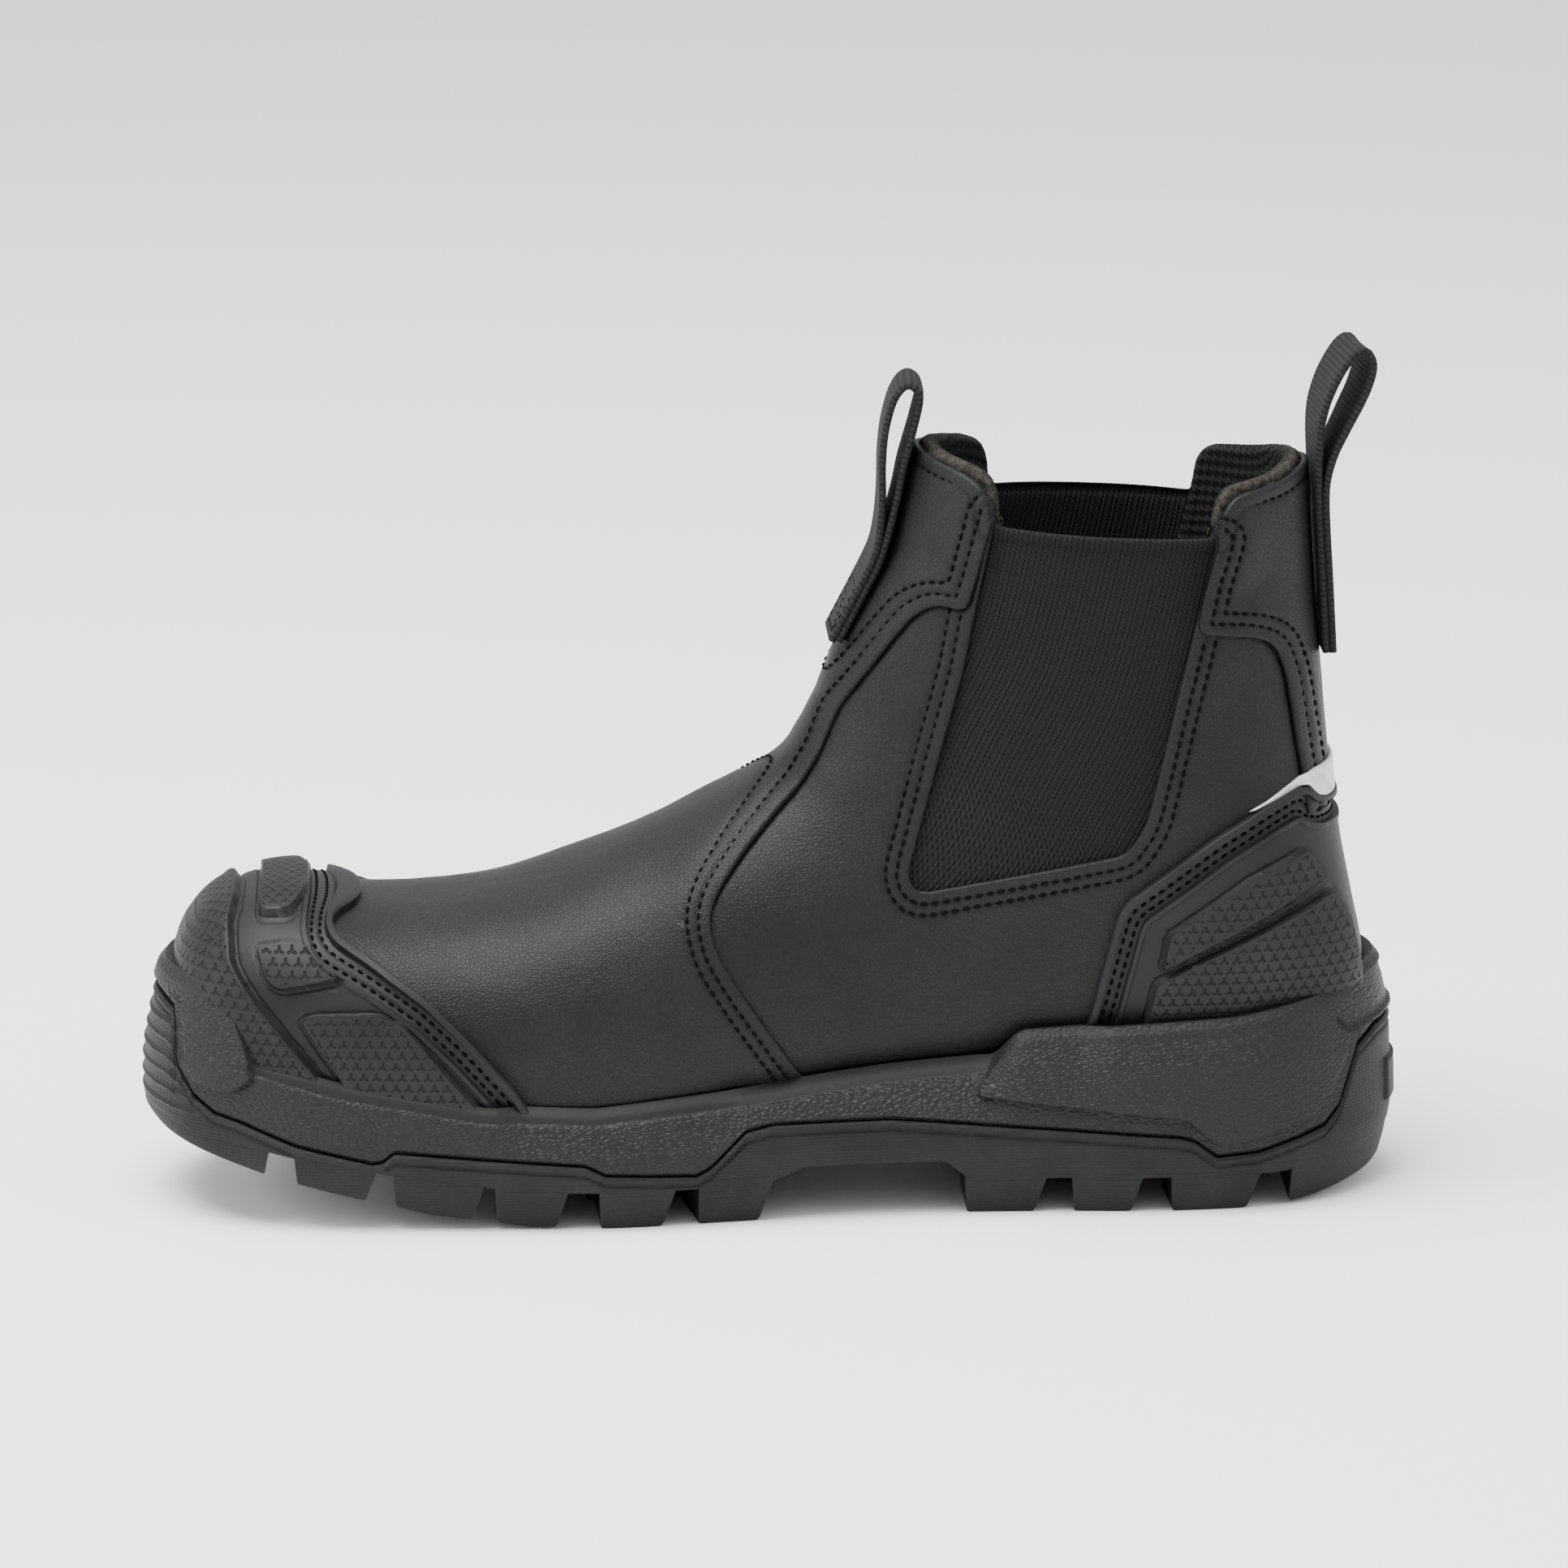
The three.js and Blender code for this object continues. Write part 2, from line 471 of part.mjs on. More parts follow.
// ---- materials and assembly ----
const material = (color, roughness, metalness = 0) => new THREE.MeshStandardMaterial({ color, roughness, metalness });
const leatherBlack = material(0x26272a, 0.55);
const rubberBlack = material(0x232427, 0.7);
const foamDark = material(0x3a3a3c, 0.95);
const meshBlack = material(0x2b2b2b, 0.95);
const webbingBlack = material(0x1f1f20, 0.9);
const elasticBlack = material(0x161617, 0.9);
const steel = material(0xb4b6ba, 0.35, 1);
const silverTape = material(0xc9ccd0, 0.4, 0.2);
const fibreBoard = material(0x8d7f68, 0.9);

const model = new THREE.Group();
function place(name, solid, finish) {
  const mesh = new THREE.Mesh(geometryOf(solid), finish);
  mesh.name = name;
  model.add(mesh);
}

place("outsole", outsole(), rubberBlack);
place("midsole", midsole(), rubberBlack);
place("steel_shank", steelShank(0), steel);
place("bottom_filler", bottomFiller(), foamDark);
place("insole_board", insoleBoard(), fibreBoard);
place("footbed", footbed(), foamDark);
place("steel_toe_cap", steelToeCap(), steel);
place("toe_cap_edge_strip", capEdgeStrip(), foamDark);
place("vamp_padding", vampPadding(), foamDark);
place("heel_counter", heelCounter(), fibreBoard);
place("collar_padding", collarPadding(), foamDark);
place("front_lining", frontLining(), meshBlack);
place("rear_lining", rearLining(), meshBlack);
place("elastic_gore_inner", elastic(-1), elasticBlack);
place("elastic_gore_outer", elastic(1), elasticBlack);
place("vamp", vamp(), leatherBlack);
place("quarter_inner", quarter(-1), leatherBlack);
place("quarter_outer", quarter(1), leatherBlack);
place("backstay", backstay(), leatherBlack);
place("toe_guard", toeGuard(), rubberBlack);
place("heel_guard", heelGuard(), rubberBlack);
place("reflective_heel_tape", reflectiveTape(), silverTape);
place("front_loop_foot", loopFoot(FRONT_LOOP, "front"), webbingBlack);
place("rear_loop_foot", loopFoot(REAR_LOOP, "rear"), webbingBlack);
place("front_pull_loop", pullLoop(FRONT_LOOP, "front"), webbingBlack);
place("rear_pull_loop", pullLoop(REAR_LOOP, "rear"), webbingBlack);

// Stand the boot on the ground, with the origin under the centre of its overall box.
const box = new THREE.Box3().setFromObject(model);
const middle = box.getCenter(new THREE.Vector3());
model.position.set(-middle.x, -middle.y, -box.min.z);

const boot = new THREE.Group();
boot.add(model);
export default boot;
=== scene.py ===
"""The looks of a steel toe pull-on work boot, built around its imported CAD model.

Sizes are in millimetres on the last, whose frame is the CAD frame moved sideways by SHIFT.
The toe points to -X, the inner side to -Y. Every mesh leaves here in metres, in the CAD frame.
"""
import math

import bmesh
import bpy
import numpy as np
from bpy.props import FloatProperty, FloatVectorProperty, IntProperty, PointerProperty
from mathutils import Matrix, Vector


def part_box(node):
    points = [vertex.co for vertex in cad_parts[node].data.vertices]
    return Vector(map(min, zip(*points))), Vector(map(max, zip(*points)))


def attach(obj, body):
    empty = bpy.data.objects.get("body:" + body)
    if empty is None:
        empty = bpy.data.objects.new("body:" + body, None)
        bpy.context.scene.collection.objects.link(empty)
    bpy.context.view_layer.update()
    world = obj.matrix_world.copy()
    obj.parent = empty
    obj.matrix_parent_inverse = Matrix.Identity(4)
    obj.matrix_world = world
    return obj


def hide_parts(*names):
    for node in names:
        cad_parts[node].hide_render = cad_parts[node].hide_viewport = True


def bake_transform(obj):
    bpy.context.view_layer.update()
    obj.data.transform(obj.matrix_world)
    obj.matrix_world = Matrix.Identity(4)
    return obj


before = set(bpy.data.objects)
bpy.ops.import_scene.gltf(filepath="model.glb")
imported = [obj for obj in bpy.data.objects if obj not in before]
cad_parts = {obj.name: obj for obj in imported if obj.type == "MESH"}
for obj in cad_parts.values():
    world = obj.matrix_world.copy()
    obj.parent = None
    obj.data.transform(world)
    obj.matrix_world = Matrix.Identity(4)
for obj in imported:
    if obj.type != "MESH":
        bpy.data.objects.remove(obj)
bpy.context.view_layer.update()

bl_info = {
    "name": "Work boot",
    "version": (1, 0, 0),
    "blender": (4, 5, 0),
    "location": "View3D > Sidebar > Work boot",
    "description": "Builds the leather, rubber, elastic and webbing of a steel toe work boot",
    "category": "Object",
}

MM = 0.001
UV_MM = 100  # millimetres along the surface for each unit of the "surface" map
SHANK_MIDDLE = 42  # x of the steel shank's middle on the last, where y is 0
shank_box = [Vector(corner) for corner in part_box("steel_shank")]
SHIFT = (shank_box[0] + shank_box[1]) / 2 / MM - Vector((SHANK_MIDDLE, 0, 0))
SHIFT.z = 0

# ---- the last ----
# top x, top z, bottom x, bottom z, inner half width, outer half width, height share of the widest line,
# roundness above it, roundness below it
STATIONS = np.array([
    [-143, 50, -143, 43, 0.5, 0.5, 0.5, 0.8, 0.8],
    [-142.2, 58, -142.2, 38, 14, 8, 0.48, 0.76, 0.74],
    [-139, 66, -139, 33.5, 25, 18, 0.45, 0.72, 0.66],
    [-131.5, 72.3, -131.5, 29.5, 34, 29, 0.42, 0.72, 0.6],
    [-117, 75, -117, 26.2, 40.5, 41, 0.38, 0.74, 0.56],
    [-94, 72.5, -95, 23, 43.5, 48.5, 0.34, 0.78, 0.52],
    [-68, 75, -70, 20.5, 45, 52, 0.31, 0.84, 0.5],
    [-42, 84, -44, 21, 45, 53, 0.29, 0.88, 0.5],
    [-20, 94, -18, 24.5, 42, 51, 0.27, 0.9, 0.52],
    [-5, 101, 10, 30, 38, 46.5, 0.28, 0.9, 0.54],
    [4, 107, 40, 32.5, 35, 42, 0.32, 0.9, 0.56],
    [9, 114.5, 74, 33.5, 34, 39, 0.37, 0.9, 0.58],
    [13, 122.5, 108, 34, 34, 37, 0.42, 0.9, 0.62],
    [16, 131, 132, 38, 34.5, 36.5, 0.42, 0.92, 0.66],
    [19.5, 139.5, 141, 52, 35, 36.5, 0.42, 0.94, 0.72],
    [24, 148, 140.5, 72, 35, 36.5, 0.42, 0.96, 0.8],
    [28.5, 157, 138.5, 93, 34.5, 36, 0.45, 0.98, 0.88],
    [31.5, 167, 136.5, 116, 34, 35, 0.48, 1, 0.94],
    [33.8, 177, 135, 140, 33.5, 34.5, 0.5, 1, 1],
    [36, 187, 133.5, 164, 34, 35, 0.5, 1, 1],
    [38, 199, 131.5, 194, 35, 36, 0.5, 1, 1],
])
LAST_END = len(STATIONS) - 1

# ---- outlines seen from the side, as x and z ----
VAMP_EDGE = [
    (54, 172), (50.3, 157.4), (47.6, 147.8), (41.3, 149.4), (35.8, 146.3), (31.4, 140.8), (26.9, 134.7),
    (17.6, 122.2), (12.6, 110.6), (7.7, 102.9), (0.6, 95.9), (-6.5, 88.5), (-12.2, 81.4), (-14.8, 76.6),
    (-15.2, 72.2), (-13.3, 65.7), (-7.1, 55.8), (6.9, 35.5), (16, 20),
]
GORE = [
    (53.4, 169.2), (46.4, 133.2), (32.9, 83.6), (35.4, 79.6), (66.8, 85.2), (86.2, 89.2), (91, 97),
    (98.6, 128.5), (108.4, 166.2),
]
BACKSTAY_EDGE = [
    (108.4, 166), (105.1, 155), (102.7, 143.4), (117, 141.4), (122.3, 138.8), (125.2, 131), (128, 114.7),
    (129.7, 106), (130.6, 96),
]
FRONT_RIM = [(20, 187.5), (33, 186), (39.4, 183.4), (47, 181.3), (51, 179.2), (53, 174.5), (53.4, 169)]
REAR_RIM = [(107.8, 166), (109.3, 173.4), (112.3, 176.6), (124, 178), (133, 181), (150, 186)]
TOE_GUARD_EDGE = [
    (-93, 90), (-92, 76.4), (-95, 73.4), (-107.2, 72), (-106.4, 69.2), (-95.9, 63.6), (-83.2, 55.7),
    (-72.9, 46.4), (-62.7, 35.1), (-54, 22),
]
HEEL_GUARD_EDGE = [
    (72, 30), (76.8, 45.6), (80, 58.7), (84.6, 76.6), (107.1, 93.3), (119.1, 99.7), (129.8, 103.8),
    (133.2, 98.8), (160, 98.4),
]
MIDSOLE_RIM = [
    (-160, 59.5), (-143, 60.5), (-137.5, 59.6), (-132.6, 56), (-129.6, 50), (-126.6, 42.6), (-104, 37.3),
    (-70.7, 31.6), (-43, 30.1), (-11.4, 32.6), (28.4, 37), (54.2, 38.8), (59.6, 45), (61.2, 45.8),
    (113.7, 48.9), (138.5, 53), (147, 56.8), (160, 57),
]
OUTSOLE_TOP = [
    (-160, 52.5), (-152, 52), (-148.4, 50.6), (-147, 46), (-145.5, 38), (-141, 31.3), (-136, 27.9),
    (-130, 26.6), (-116, 21.6), (-97.5, 17.6), (-95, 18), (-92, 20.4), (-69.8, 18.6), (-46, 16.8),
    (-41, 14.2), (-18.6, 13), (-15.6, 14.6), (-6.6, 23.6), (0, 25), (28.8, 25), (59.3, 22.4), (99, 19.6),
    (102.8, 18.6), (108.5, 14.2), (119, 15), (135.5, 20), (139.4, 24), (144.6, 38), (150, 41), (160, 42),
]
SOLE_BODY = [
    (-160, 25), (-148, 24), (-139, 21.5), (-123, 19.8), (-108, 17), (-83, 13.2), (-60, 10.2), (-40, 9.6),
    (-2, 9.6), (8, 14), (42, 14), (48, 9.2), (123, 9.2), (140, 10.5), (160, 15),
]
TREAD = [(-160, 27), (-148, 21), (-124, 14), (-108, 10), (-83, 4), (-60, 1), (-45, 0), (120, 0), (134, 1.5),
         (150, 4.5), (160, 6)]
HEEL_BLOCK = [
    (61, 60), (59.4, 45.8), (54, 37.5), (49.6, 30.2), (73.5, 27.4), (100.6, 24.4), (108.3, 17.6),
    (118.6, 18.6), (131.6, 23.8), (136.4, 27), (141, 38.6), (147, 42.4), (160, 44), (160, 70), (61, 70),
]
HEEL_SCOOP = [(138.6, 46), (142.4, 42.6), (170, 47.6), (170, 55.4), (150, 54.2), (141.5, 49)]
TOE_BLOCK = [
    (-170, 70), (-137.5, 70), (-133.6, 57.2), (-130.6, 50), (-127.6, 43.4), (-126.4, 37), (-132.5, 33.5),
    (-141, 35.5), (-144, 44), (-146, 54), (-170, 56),
]
TOE_PADS = [
    [(-170, 90), (-127.6, 90), (-128.2, 74), (-130, 70), (-129, 63), (-124.6, 57), (-119, 50.5),
     (-109, 38), (-104, 30), (-170, 30)],
    [(-122.8, 90), (-101.6, 90), (-101.6, 77.6), (-105.6, 74.6), (-113.6, 74.2), (-117, 71.8),
     (-124.2, 71.4), (-123.6, 76)],
    [(-124.4, 66.6), (-117, 67.6), (-109.4, 66.2), (-101.6, 60.4), (-119, 58.2), (-122, 60)],
    [(-114.3, 52), (-110.9, 53.2), (-96, 53.2), (-90.1, 51.6), (-84, 45.6), (-75.8, 36), (-68, 28),
     (-98, 28)],
]
HEEL_PADS = [
    [(96.3, 70), (115.1, 83), (128.6, 88.5), (133.2, 81), (123.3, 75.6), (94.6, 60.6)],
    [(93.4, 58), (107.4, 65), (134.6, 77.4), (137.6, 70), (139.5, 57), (139.5, 40), (89, 40)],
    [(139.8, 92), (150, 92), (150, 74), (141.2, 74), (140.6, 85)],
]
TAPE_OUTLINE = [
    (113, 97.6), (124, 103), (131, 106.6), (170, 109), (170, 98.6), (133.4, 98.6), (130, 103.4),
    (119, 99.6),
]
LINING_SEAM = 62
# The sole seen from below, as x and y, round from the toe along the inner side.
PLAN = [
    (-153.8, -5), (-149.5, -23), (-139, -37), (-117, -47), (-90, -50), (-60, -51.3), (-35, -50.8),
    (-5, -46), (30, -41.5), (65, -41), (100, -42), (130, -36.5), (148, -21), (155, 0), (148, 22),
    (130, 38), (100, 43.5), (65, 45.5), (30, 49.5), (-5, 55), (-35, 58.4), (-60, 58.7), (-90, 55.5),
    (-117, 47.5), (-137, 33.5), (-149.5, 14),
]
# First and last x of each lug at the tread.
EDGE_LUGS = [(-116, -99.5), (-92, -73.5), (-67.5, -53), (-42, -26.5), (-17.5, -3), (47.5, 64), (73.5, 87.5),
             (98, 117)]
END_LUGS = [(-152, -124), (128.5, 152)]
CENTRE_LUGS = [-104, -83, -61, -37, -12, 58, 82, 107]
ARCH_RIBS = [14, 22, 30, 38]
LOOP_WIDTH = 20
LOOP_THICK = 1.8
FOOTBED_TOP = 9  # height of the footbed's top above the bottom of the last


# ---- numbers ----
def smoothstep(low, high, value):
    share = np.clip((value - low) / (high - low), 0, 1)
    return share * share * (3 - 2 * share)


def bump_at(value, centre, width):
    return np.exp(-(((value - centre) / width) ** 2))


def height_on(curve, x):
    xs, zs = zip(*curve)
    return np.interp(x, xs, zs)


def rounded(points, radius, closed=True, steps=4):
    """The outline with each corner turned into a short curve."""
    count = len(points)
    result = []
    for i, corner in enumerate(points):
        corner = np.array(corner, float)
        if not closed and i in (0, count - 1):
            result.append(corner)
            continue
        before = np.array(points[i - 1], float) - corner
        after = np.array(points[(i + 1) % count], float) - corner
        reach = [min(radius, np.linalg.norm(side) / 2) / np.linalg.norm(side) for side in (before, after)]
        start, end = corner + before * reach[0], corner + after * reach[1]
        for share in np.linspace(0, 1, steps):
            result.append((1 - share) ** 2 * start + 2 * share * (1 - share) * corner + share ** 2 * end)
    return np.array(result)


def edge_distance(points, line, closed=False):
    """Distance of each x, z point from a line of points, as a positive number."""
    line = np.asarray(line, float)
    ends = np.roll(line, -1, 0) if closed else line[1:]
    starts = line if closed else line[:-1]
    nearest = np.full(len(points), 1e9)
    for a, b in zip(starts, ends):
        along = b - a
        share = np.clip(((points - a) @ along) / max(along @ along, 1e-9), 0, 1)
        nearest = np.minimum(nearest, np.hypot(*(points - a - share[:, None] * along).T))
    return nearest


def inside(points, outline):
    """Distance into a closed outline: positive inside it, negative outside."""
    outline = np.asarray(outline, float)
    crossings = np.zeros(len(points), bool)
    for a, b in zip(outline, np.roll(outline, -1, 0)):
        spans = (a[1] > points[:, 1]) != (b[1] > points[:, 1])
        rise = b[1] - a[1] if abs(b[1] - a[1]) > 1e-9 else 1e-9
        crossings ^= spans & (points[:, 0] < (b[0] - a[0]) * (points[:, 1] - a[1]) / rise + a[0])
    return np.where(crossings, 1, -1) * edge_distance(points, outline, closed=True)


def ripple(points, wavelength, seed):
    """Soft, repeatable waves of height about 1, from a few crossed sines."""
    source = np.random.default_rng(seed)
    total = np.zeros(len(points))
    for _ in range(7):
        direction = source.normal(size=3)
        direction /= np.linalg.norm(direction)
        length = wavelength * source.uniform(0.6, 1.6)
        total += np.sin(points @ direction * 2 * np.pi / length + source.uniform(0, 2 * np.pi))
    return total / 3


def at_places(line, places_for):
    """The rows of a line at chosen distances along it, which places_for works out from its length."""
    lengths = np.concatenate([[0], np.cumsum(np.linalg.norm(np.diff(line[:, :3], axis=0), axis=1))])
    places = places_for(lengths[-1])
    return np.column_stack([np.interp(places, lengths, column) for column in line.T]), places


# ---- the skin of the last ----
def spline(a, b, c, d, u):
    """A Catmull-Rom curve from b to c."""
    square = 2 * a - 5 * b + 4 * c - d
    cube = 3 * b - a - 3 * c + d
    return 0.5 * (2 * b + (c - a) * u + square * u ** 2 + cube * u ** 3)


def stations_at(t):
    padded = np.vstack([2 * STATIONS[0] - STATIONS[1], STATIONS, 2 * STATIONS[-1] - STATIONS[-2]])
    i = np.minimum(t.astype(int), LAST_END - 1)
    u = (t - i)[:, None]
    return spline(*(padded[i + k] for k in range(4)), u)


def ribs(t, angle):
    """Points of the skin for stations t and angles round them: 0 is on top, positive the inner side."""
    tx, tz, bx, bz, inner, outer, widest, over, under = (column[:, None] for column in stations_at(t).T)
    c, s = np.cos(angle), np.sin(angle)
    power = np.where(c >= 0, over, under)
    share = widest + np.where(c >= 0, 1 - widest, widest) * np.sign(c) * np.abs(c) ** power
    y = -np.sign(s) * np.where(s >= 0, inner, outer) * np.abs(s) ** power
    return np.stack([bx + share * (tx - bx), y, bz + share * (tz - bz)], -1)


def even_angles(t, v):
    """The angles that divide each rib evenly, for v from -1 (outer side) over 0 (top) to 1 (inner side)."""
    result = np.empty((len(t), len(v)))
    fine = np.linspace(0, math.pi, 181)
    for side in (1, -1):
        points = ribs(t, side * np.broadcast_to(fine, (len(t), len(fine))))
        lengths = np.cumsum(np.linalg.norm(np.diff(points, axis=1), axis=2), axis=1)
        lengths = np.hstack([np.zeros((len(t), 1)), lengths])
        chosen = np.flatnonzero(np.sign(v) == side) if side < 0 else np.flatnonzero(v >= 0)
        for row in range(len(t)):
            result[row, chosen] = side * np.interp(np.abs(v[chosen]) * lengths[row, -1], lengths[row], fine)
    return result


class Patch:
    """Part of the skin as triangles. A row of data is a point, its normal, and its place along and round."""

    def __init__(self, t_range, step, v_range=(-1, 1)):
        rows = max(4, int((t_range[1] - t_range[0]) * 21 / step))
        columns = max(4, int((v_range[1] - v_range[0]) * 128 / step)) // 2 * 2 + 1
        t = np.linspace(*t_range, rows)
        v = np.linspace(*v_range, columns)
        points = ribs(t, even_angles(t, v))
        along = np.gradient(points, axis=0)
        round_ = np.gradient(points, axis=1)
        normals = np.cross(round_, along)
        normals /= np.maximum(np.linalg.norm(normals, axis=2, keepdims=True), 1e-9)
        middle = normals[rows // 2, columns // 2]
        if middle[2] < 0:
            normals = -normals
        lengths = np.cumsum(np.linalg.norm(along, axis=2), axis=0)
        girth = np.cumsum(np.linalg.norm(round_, axis=2), axis=1)
        girth -= girth[:, [columns // 2]]
        places = np.stack([lengths, girth], 2)
        self.data = np.concatenate([points, normals, places], 2).reshape(-1, 8)
        corner = (np.arange(rows - 1)[:, None] * columns + np.arange(columns - 1)).ravel()
        a, b, c, d = corner, corner + 1, corner + columns + 1, corner + columns
        self.faces = np.vstack([np.column_stack([a, b, c]), np.column_stack([a, c, d])])
        flip = np.einsum("ij,ij->i", self._face_normals(), self.data[self.faces[:, 0], 3:6]).sum() < 0
        if flip:
            self.faces = self.faces[:, ::-1]

    def copy(self):
        twin = Patch.__new__(Patch)
        twin.data, twin.faces = self.data.copy(), self.faces.copy()
        return twin

    def _face_normals(self):
        p = self.data[:, :3]
        return np.cross(p[self.faces[:, 1]] - p[self.faces[:, 0]], p[self.faces[:, 2]] - p[self.faces[:, 0]])

    @property
    def xz(self):
        return self.data[:, [0, 2]]

    def cut(self, field, level=0.0, keep=False):
        """Splits the triangles along field(patch) == level, and with keep drops what lies below it."""
        value = field(self) - level
        value[np.abs(value) < 1e-4] = 1e-4
        above = value > 0
        signs = above[self.faces]
        mixed = (signs.sum(1) % 3) != 0
        whole = self.faces[~mixed]
        faces, signs = self.faces[mixed], signs[mixed]
        odd = np.where(signs.sum(1) == 1, signs.argmax(1), (~signs).argmax(1))
        faces = faces[np.arange(len(faces))[:, None], (odd[:, None] + np.arange(3)) % 3]
        edges = np.sort(np.vstack([faces[:, [0, 1]], faces[:, [0, 2]]]), 1)
        unique, index = np.unique(edges, axis=0, return_inverse=True)
        index = index.reshape(-1)
        share = (value[unique[:, 0]] / (value[unique[:, 0]] - value[unique[:, 1]]))[:, None]
        new = self.data[unique[:, 0]] * (1 - share) + self.data[unique[:, 1]] * share
        ab, ac = (index[:len(faces)] + len(self.data), index[len(faces):] + len(self.data))
        self.data = np.vstack([self.data, new])
        tip = np.column_stack([faces[:, 0], ab, ac])
        base = np.vstack([
            np.column_stack([ab, faces[:, 1], faces[:, 2]]),
            np.column_stack([ab, faces[:, 2], ac]),
        ])
        segments = np.column_stack([ab, ac])
        if keep:
            tip_above = above[faces[:, 0]]
            tip, base = tip[tip_above], base[np.tile(~tip_above, 2)]
            whole = whole[above[whole[:, 0]]]
        self.faces = np.vstack([whole, tip, base])
        return segments

    def keep(self, field, level=0.0):
        self.cut(field, level, keep=True)
        return self

    def tidy(self):
        """Joins points that fall together, and drops faces and points that are then of no use."""
        key = np.round(self.data[:, :3] / 0.03).astype(np.int64)
        _, first, index = np.unique(key, axis=0, return_index=True, return_inverse=True)
        faces = index.reshape(-1)[self.faces]
        good = (faces[:, 0] != faces[:, 1]) & (faces[:, 1] != faces[:, 2]) & (faces[:, 0] != faces[:, 2])
        faces = faces[good]
        used, compact = np.unique(faces, return_inverse=True)
        self.data, self.faces = self.data[first][used], compact.reshape(-1, 3)
        return self

    def contour(self, field, level):
        """Lines of data rows where field(patch) == level, each chained from end to end."""
        copy = self.copy()
        segments = copy.cut(field, level)
        links = {}
        for a, b in segments.tolist():
            links.setdefault(a, []).append(b)
            links.setdefault(b, []).append(a)
        lines = []
        starts = [p for p, others in links.items() if len(others) == 1] + list(links)
        seen = set()
        for start in starts:
            if start in seen:
                continue
            chain, at = [start], start
            seen.add(start)
            while True:
                onward = [p for p in links[at] if p not in seen]
                if not onward:
                    break
                at = onward[0]
                seen.add(at)
                chain.append(at)
            if len(chain) > 4:
                lines.append(copy.data[chain])
        return lines


# ---- meshes ----
def new_object(name, points, faces, finish, uv=None, marks=None):
    """A mesh object from points in millimetres on the last."""
    mesh = bpy.data.meshes.new(name)
    points = (np.asarray(points, float) + np.array(SHIFT)) * MM
    mesh.from_pydata(points.tolist(), [], [list(map(int, face)) for face in faces])
    mesh.polygons.foreach_set("use_smooth", np.ones(len(mesh.polygons), bool))
    if uv is not None:
        layer = mesh.uv_layers.new(name="surface")
        corners = np.empty(len(mesh.loops), np.int32)
        mesh.loops.foreach_get("vertex_index", corners)
        layer.data.foreach_set("uv", (np.asarray(uv, float)[corners] / UV_MM).astype(np.float32).ravel())
    # The "pad" layer carries each piece's mark; on the leather it is the painted shade round the stitch rows.
    if marks is not None:
        mesh.attributes.new("pad", "FLOAT", "POINT").data.foreach_set("value", np.asarray(marks, np.float32))
    mesh.materials.append(finish)
    mesh.update()
    thing = bpy.data.objects.new(name, mesh)
    bpy.context.scene.collection.objects.link(thing)
    return thing


def face_outwards(thing):
    mesh = bmesh.new()
    mesh.from_mesh(thing.data)
    bmesh.ops.recalc_face_normals(mesh, faces=mesh.faces)
    mesh.to_mesh(thing.data)
    mesh.free()


def settle(thing, node_slot, *nodes, body="root"):
    """Puts a piece on its body and hides the CAD nodes it stands for. Its node_slot is not used."""
    if body:
        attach(thing, body)
    if nodes:
        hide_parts(*nodes)
    return thing


def open_edges(faces):
    """Directed edges that only one face uses."""
    edges = np.vstack([faces[:, [0, 1]], faces[:, [1, 2]], faces[:, [2, 0]]])
    key = np.sort(edges, 1)
    _, index, count = np.unique(key, axis=0, return_index=True, return_counts=True)
    return edges[index[count == 1]]


def sheet_mesh(name, patch, outer, inner, finish, marks=None):
    """A closed sheet: the patch raised to two heights above the skin, walled round its open edges."""
    patch.tidy()
    data, faces = patch.data, patch.faces
    count = len(data)
    top = data[:, :3] + data[:, 3:6] * np.broadcast_to(outer(patch), count)[:, None]
    bottom = data[:, :3] + data[:, 3:6] * np.broadcast_to(inner(patch), count)[:, None]
    rim = open_edges(faces)
    walls = np.column_stack([rim[:, 1], rim[:, 0], rim[:, 0] + count, rim[:, 1] + count])
    uv = np.vstack([data[:, 6:8]] * 2)
    all_faces = faces.tolist() + (faces[:, ::-1] + count).tolist() + walls.tolist()
    values = None if marks is None else np.concatenate([marks(patch), np.zeros(count)])
    return new_object(name, np.vstack([top, bottom]), all_faces, finish, uv, marks=values)


def edge_fall(distance, radius):
    """How far a rounded edge drops at a distance in from it."""
    share = np.clip(1 - distance / radius, 0, 1)
    return radius * (1 - np.sqrt(np.maximum(1 - share ** 2, 0)))


def thread_mesh(name, rows, finish, pitch=2.7, length=1.9, thick=0.38):
    """One short, sunken loop of thread for each stitch along rows of points with heights above the skin."""
    around, rings = 6, 5
    angles = np.linspace(0, 2 * np.pi, around, endpoint=False)
    template = []
    for k in range(rings):
        share = k / (rings - 1) * 2 - 1
        fat = thick * math.sqrt(max(1 - share ** 2, 0.06))
        sink = -0.30 * share ** 4
        template += [(share * length / 2, math.cos(a) * fat, math.sin(a) * fat * 0.8 + sink) for a in angles]
    template = np.array(template)
    quads = ring_faces(rings, around)
    ends = [list(range(around))[::-1], [(rings - 1) * around + j for j in range(around)]]
    points, faces = [], []
    for line, height in rows:
        line, places = at_places(line, lambda reach: np.arange(pitch / 2, reach, pitch))
        if len(places) < 2:
            continue
        tangents = np.gradient(line[:, :3], axis=0)
        for place, tangent in zip(line, tangents):
            normal = place[3:6] / np.linalg.norm(place[3:6])
            tangent = tangent - normal * (tangent @ normal)
            tangent /= max(np.linalg.norm(tangent), 1e-9)
            basis = np.array([tangent, np.cross(normal, tangent), normal])
            base = len(points) * len(template)
            points.append(template @ basis + place[:3] + normal * height)
            faces += [[base + i for i in quad] for quad in quads + ends]
    return new_object(name, np.vstack(points), faces, finish)


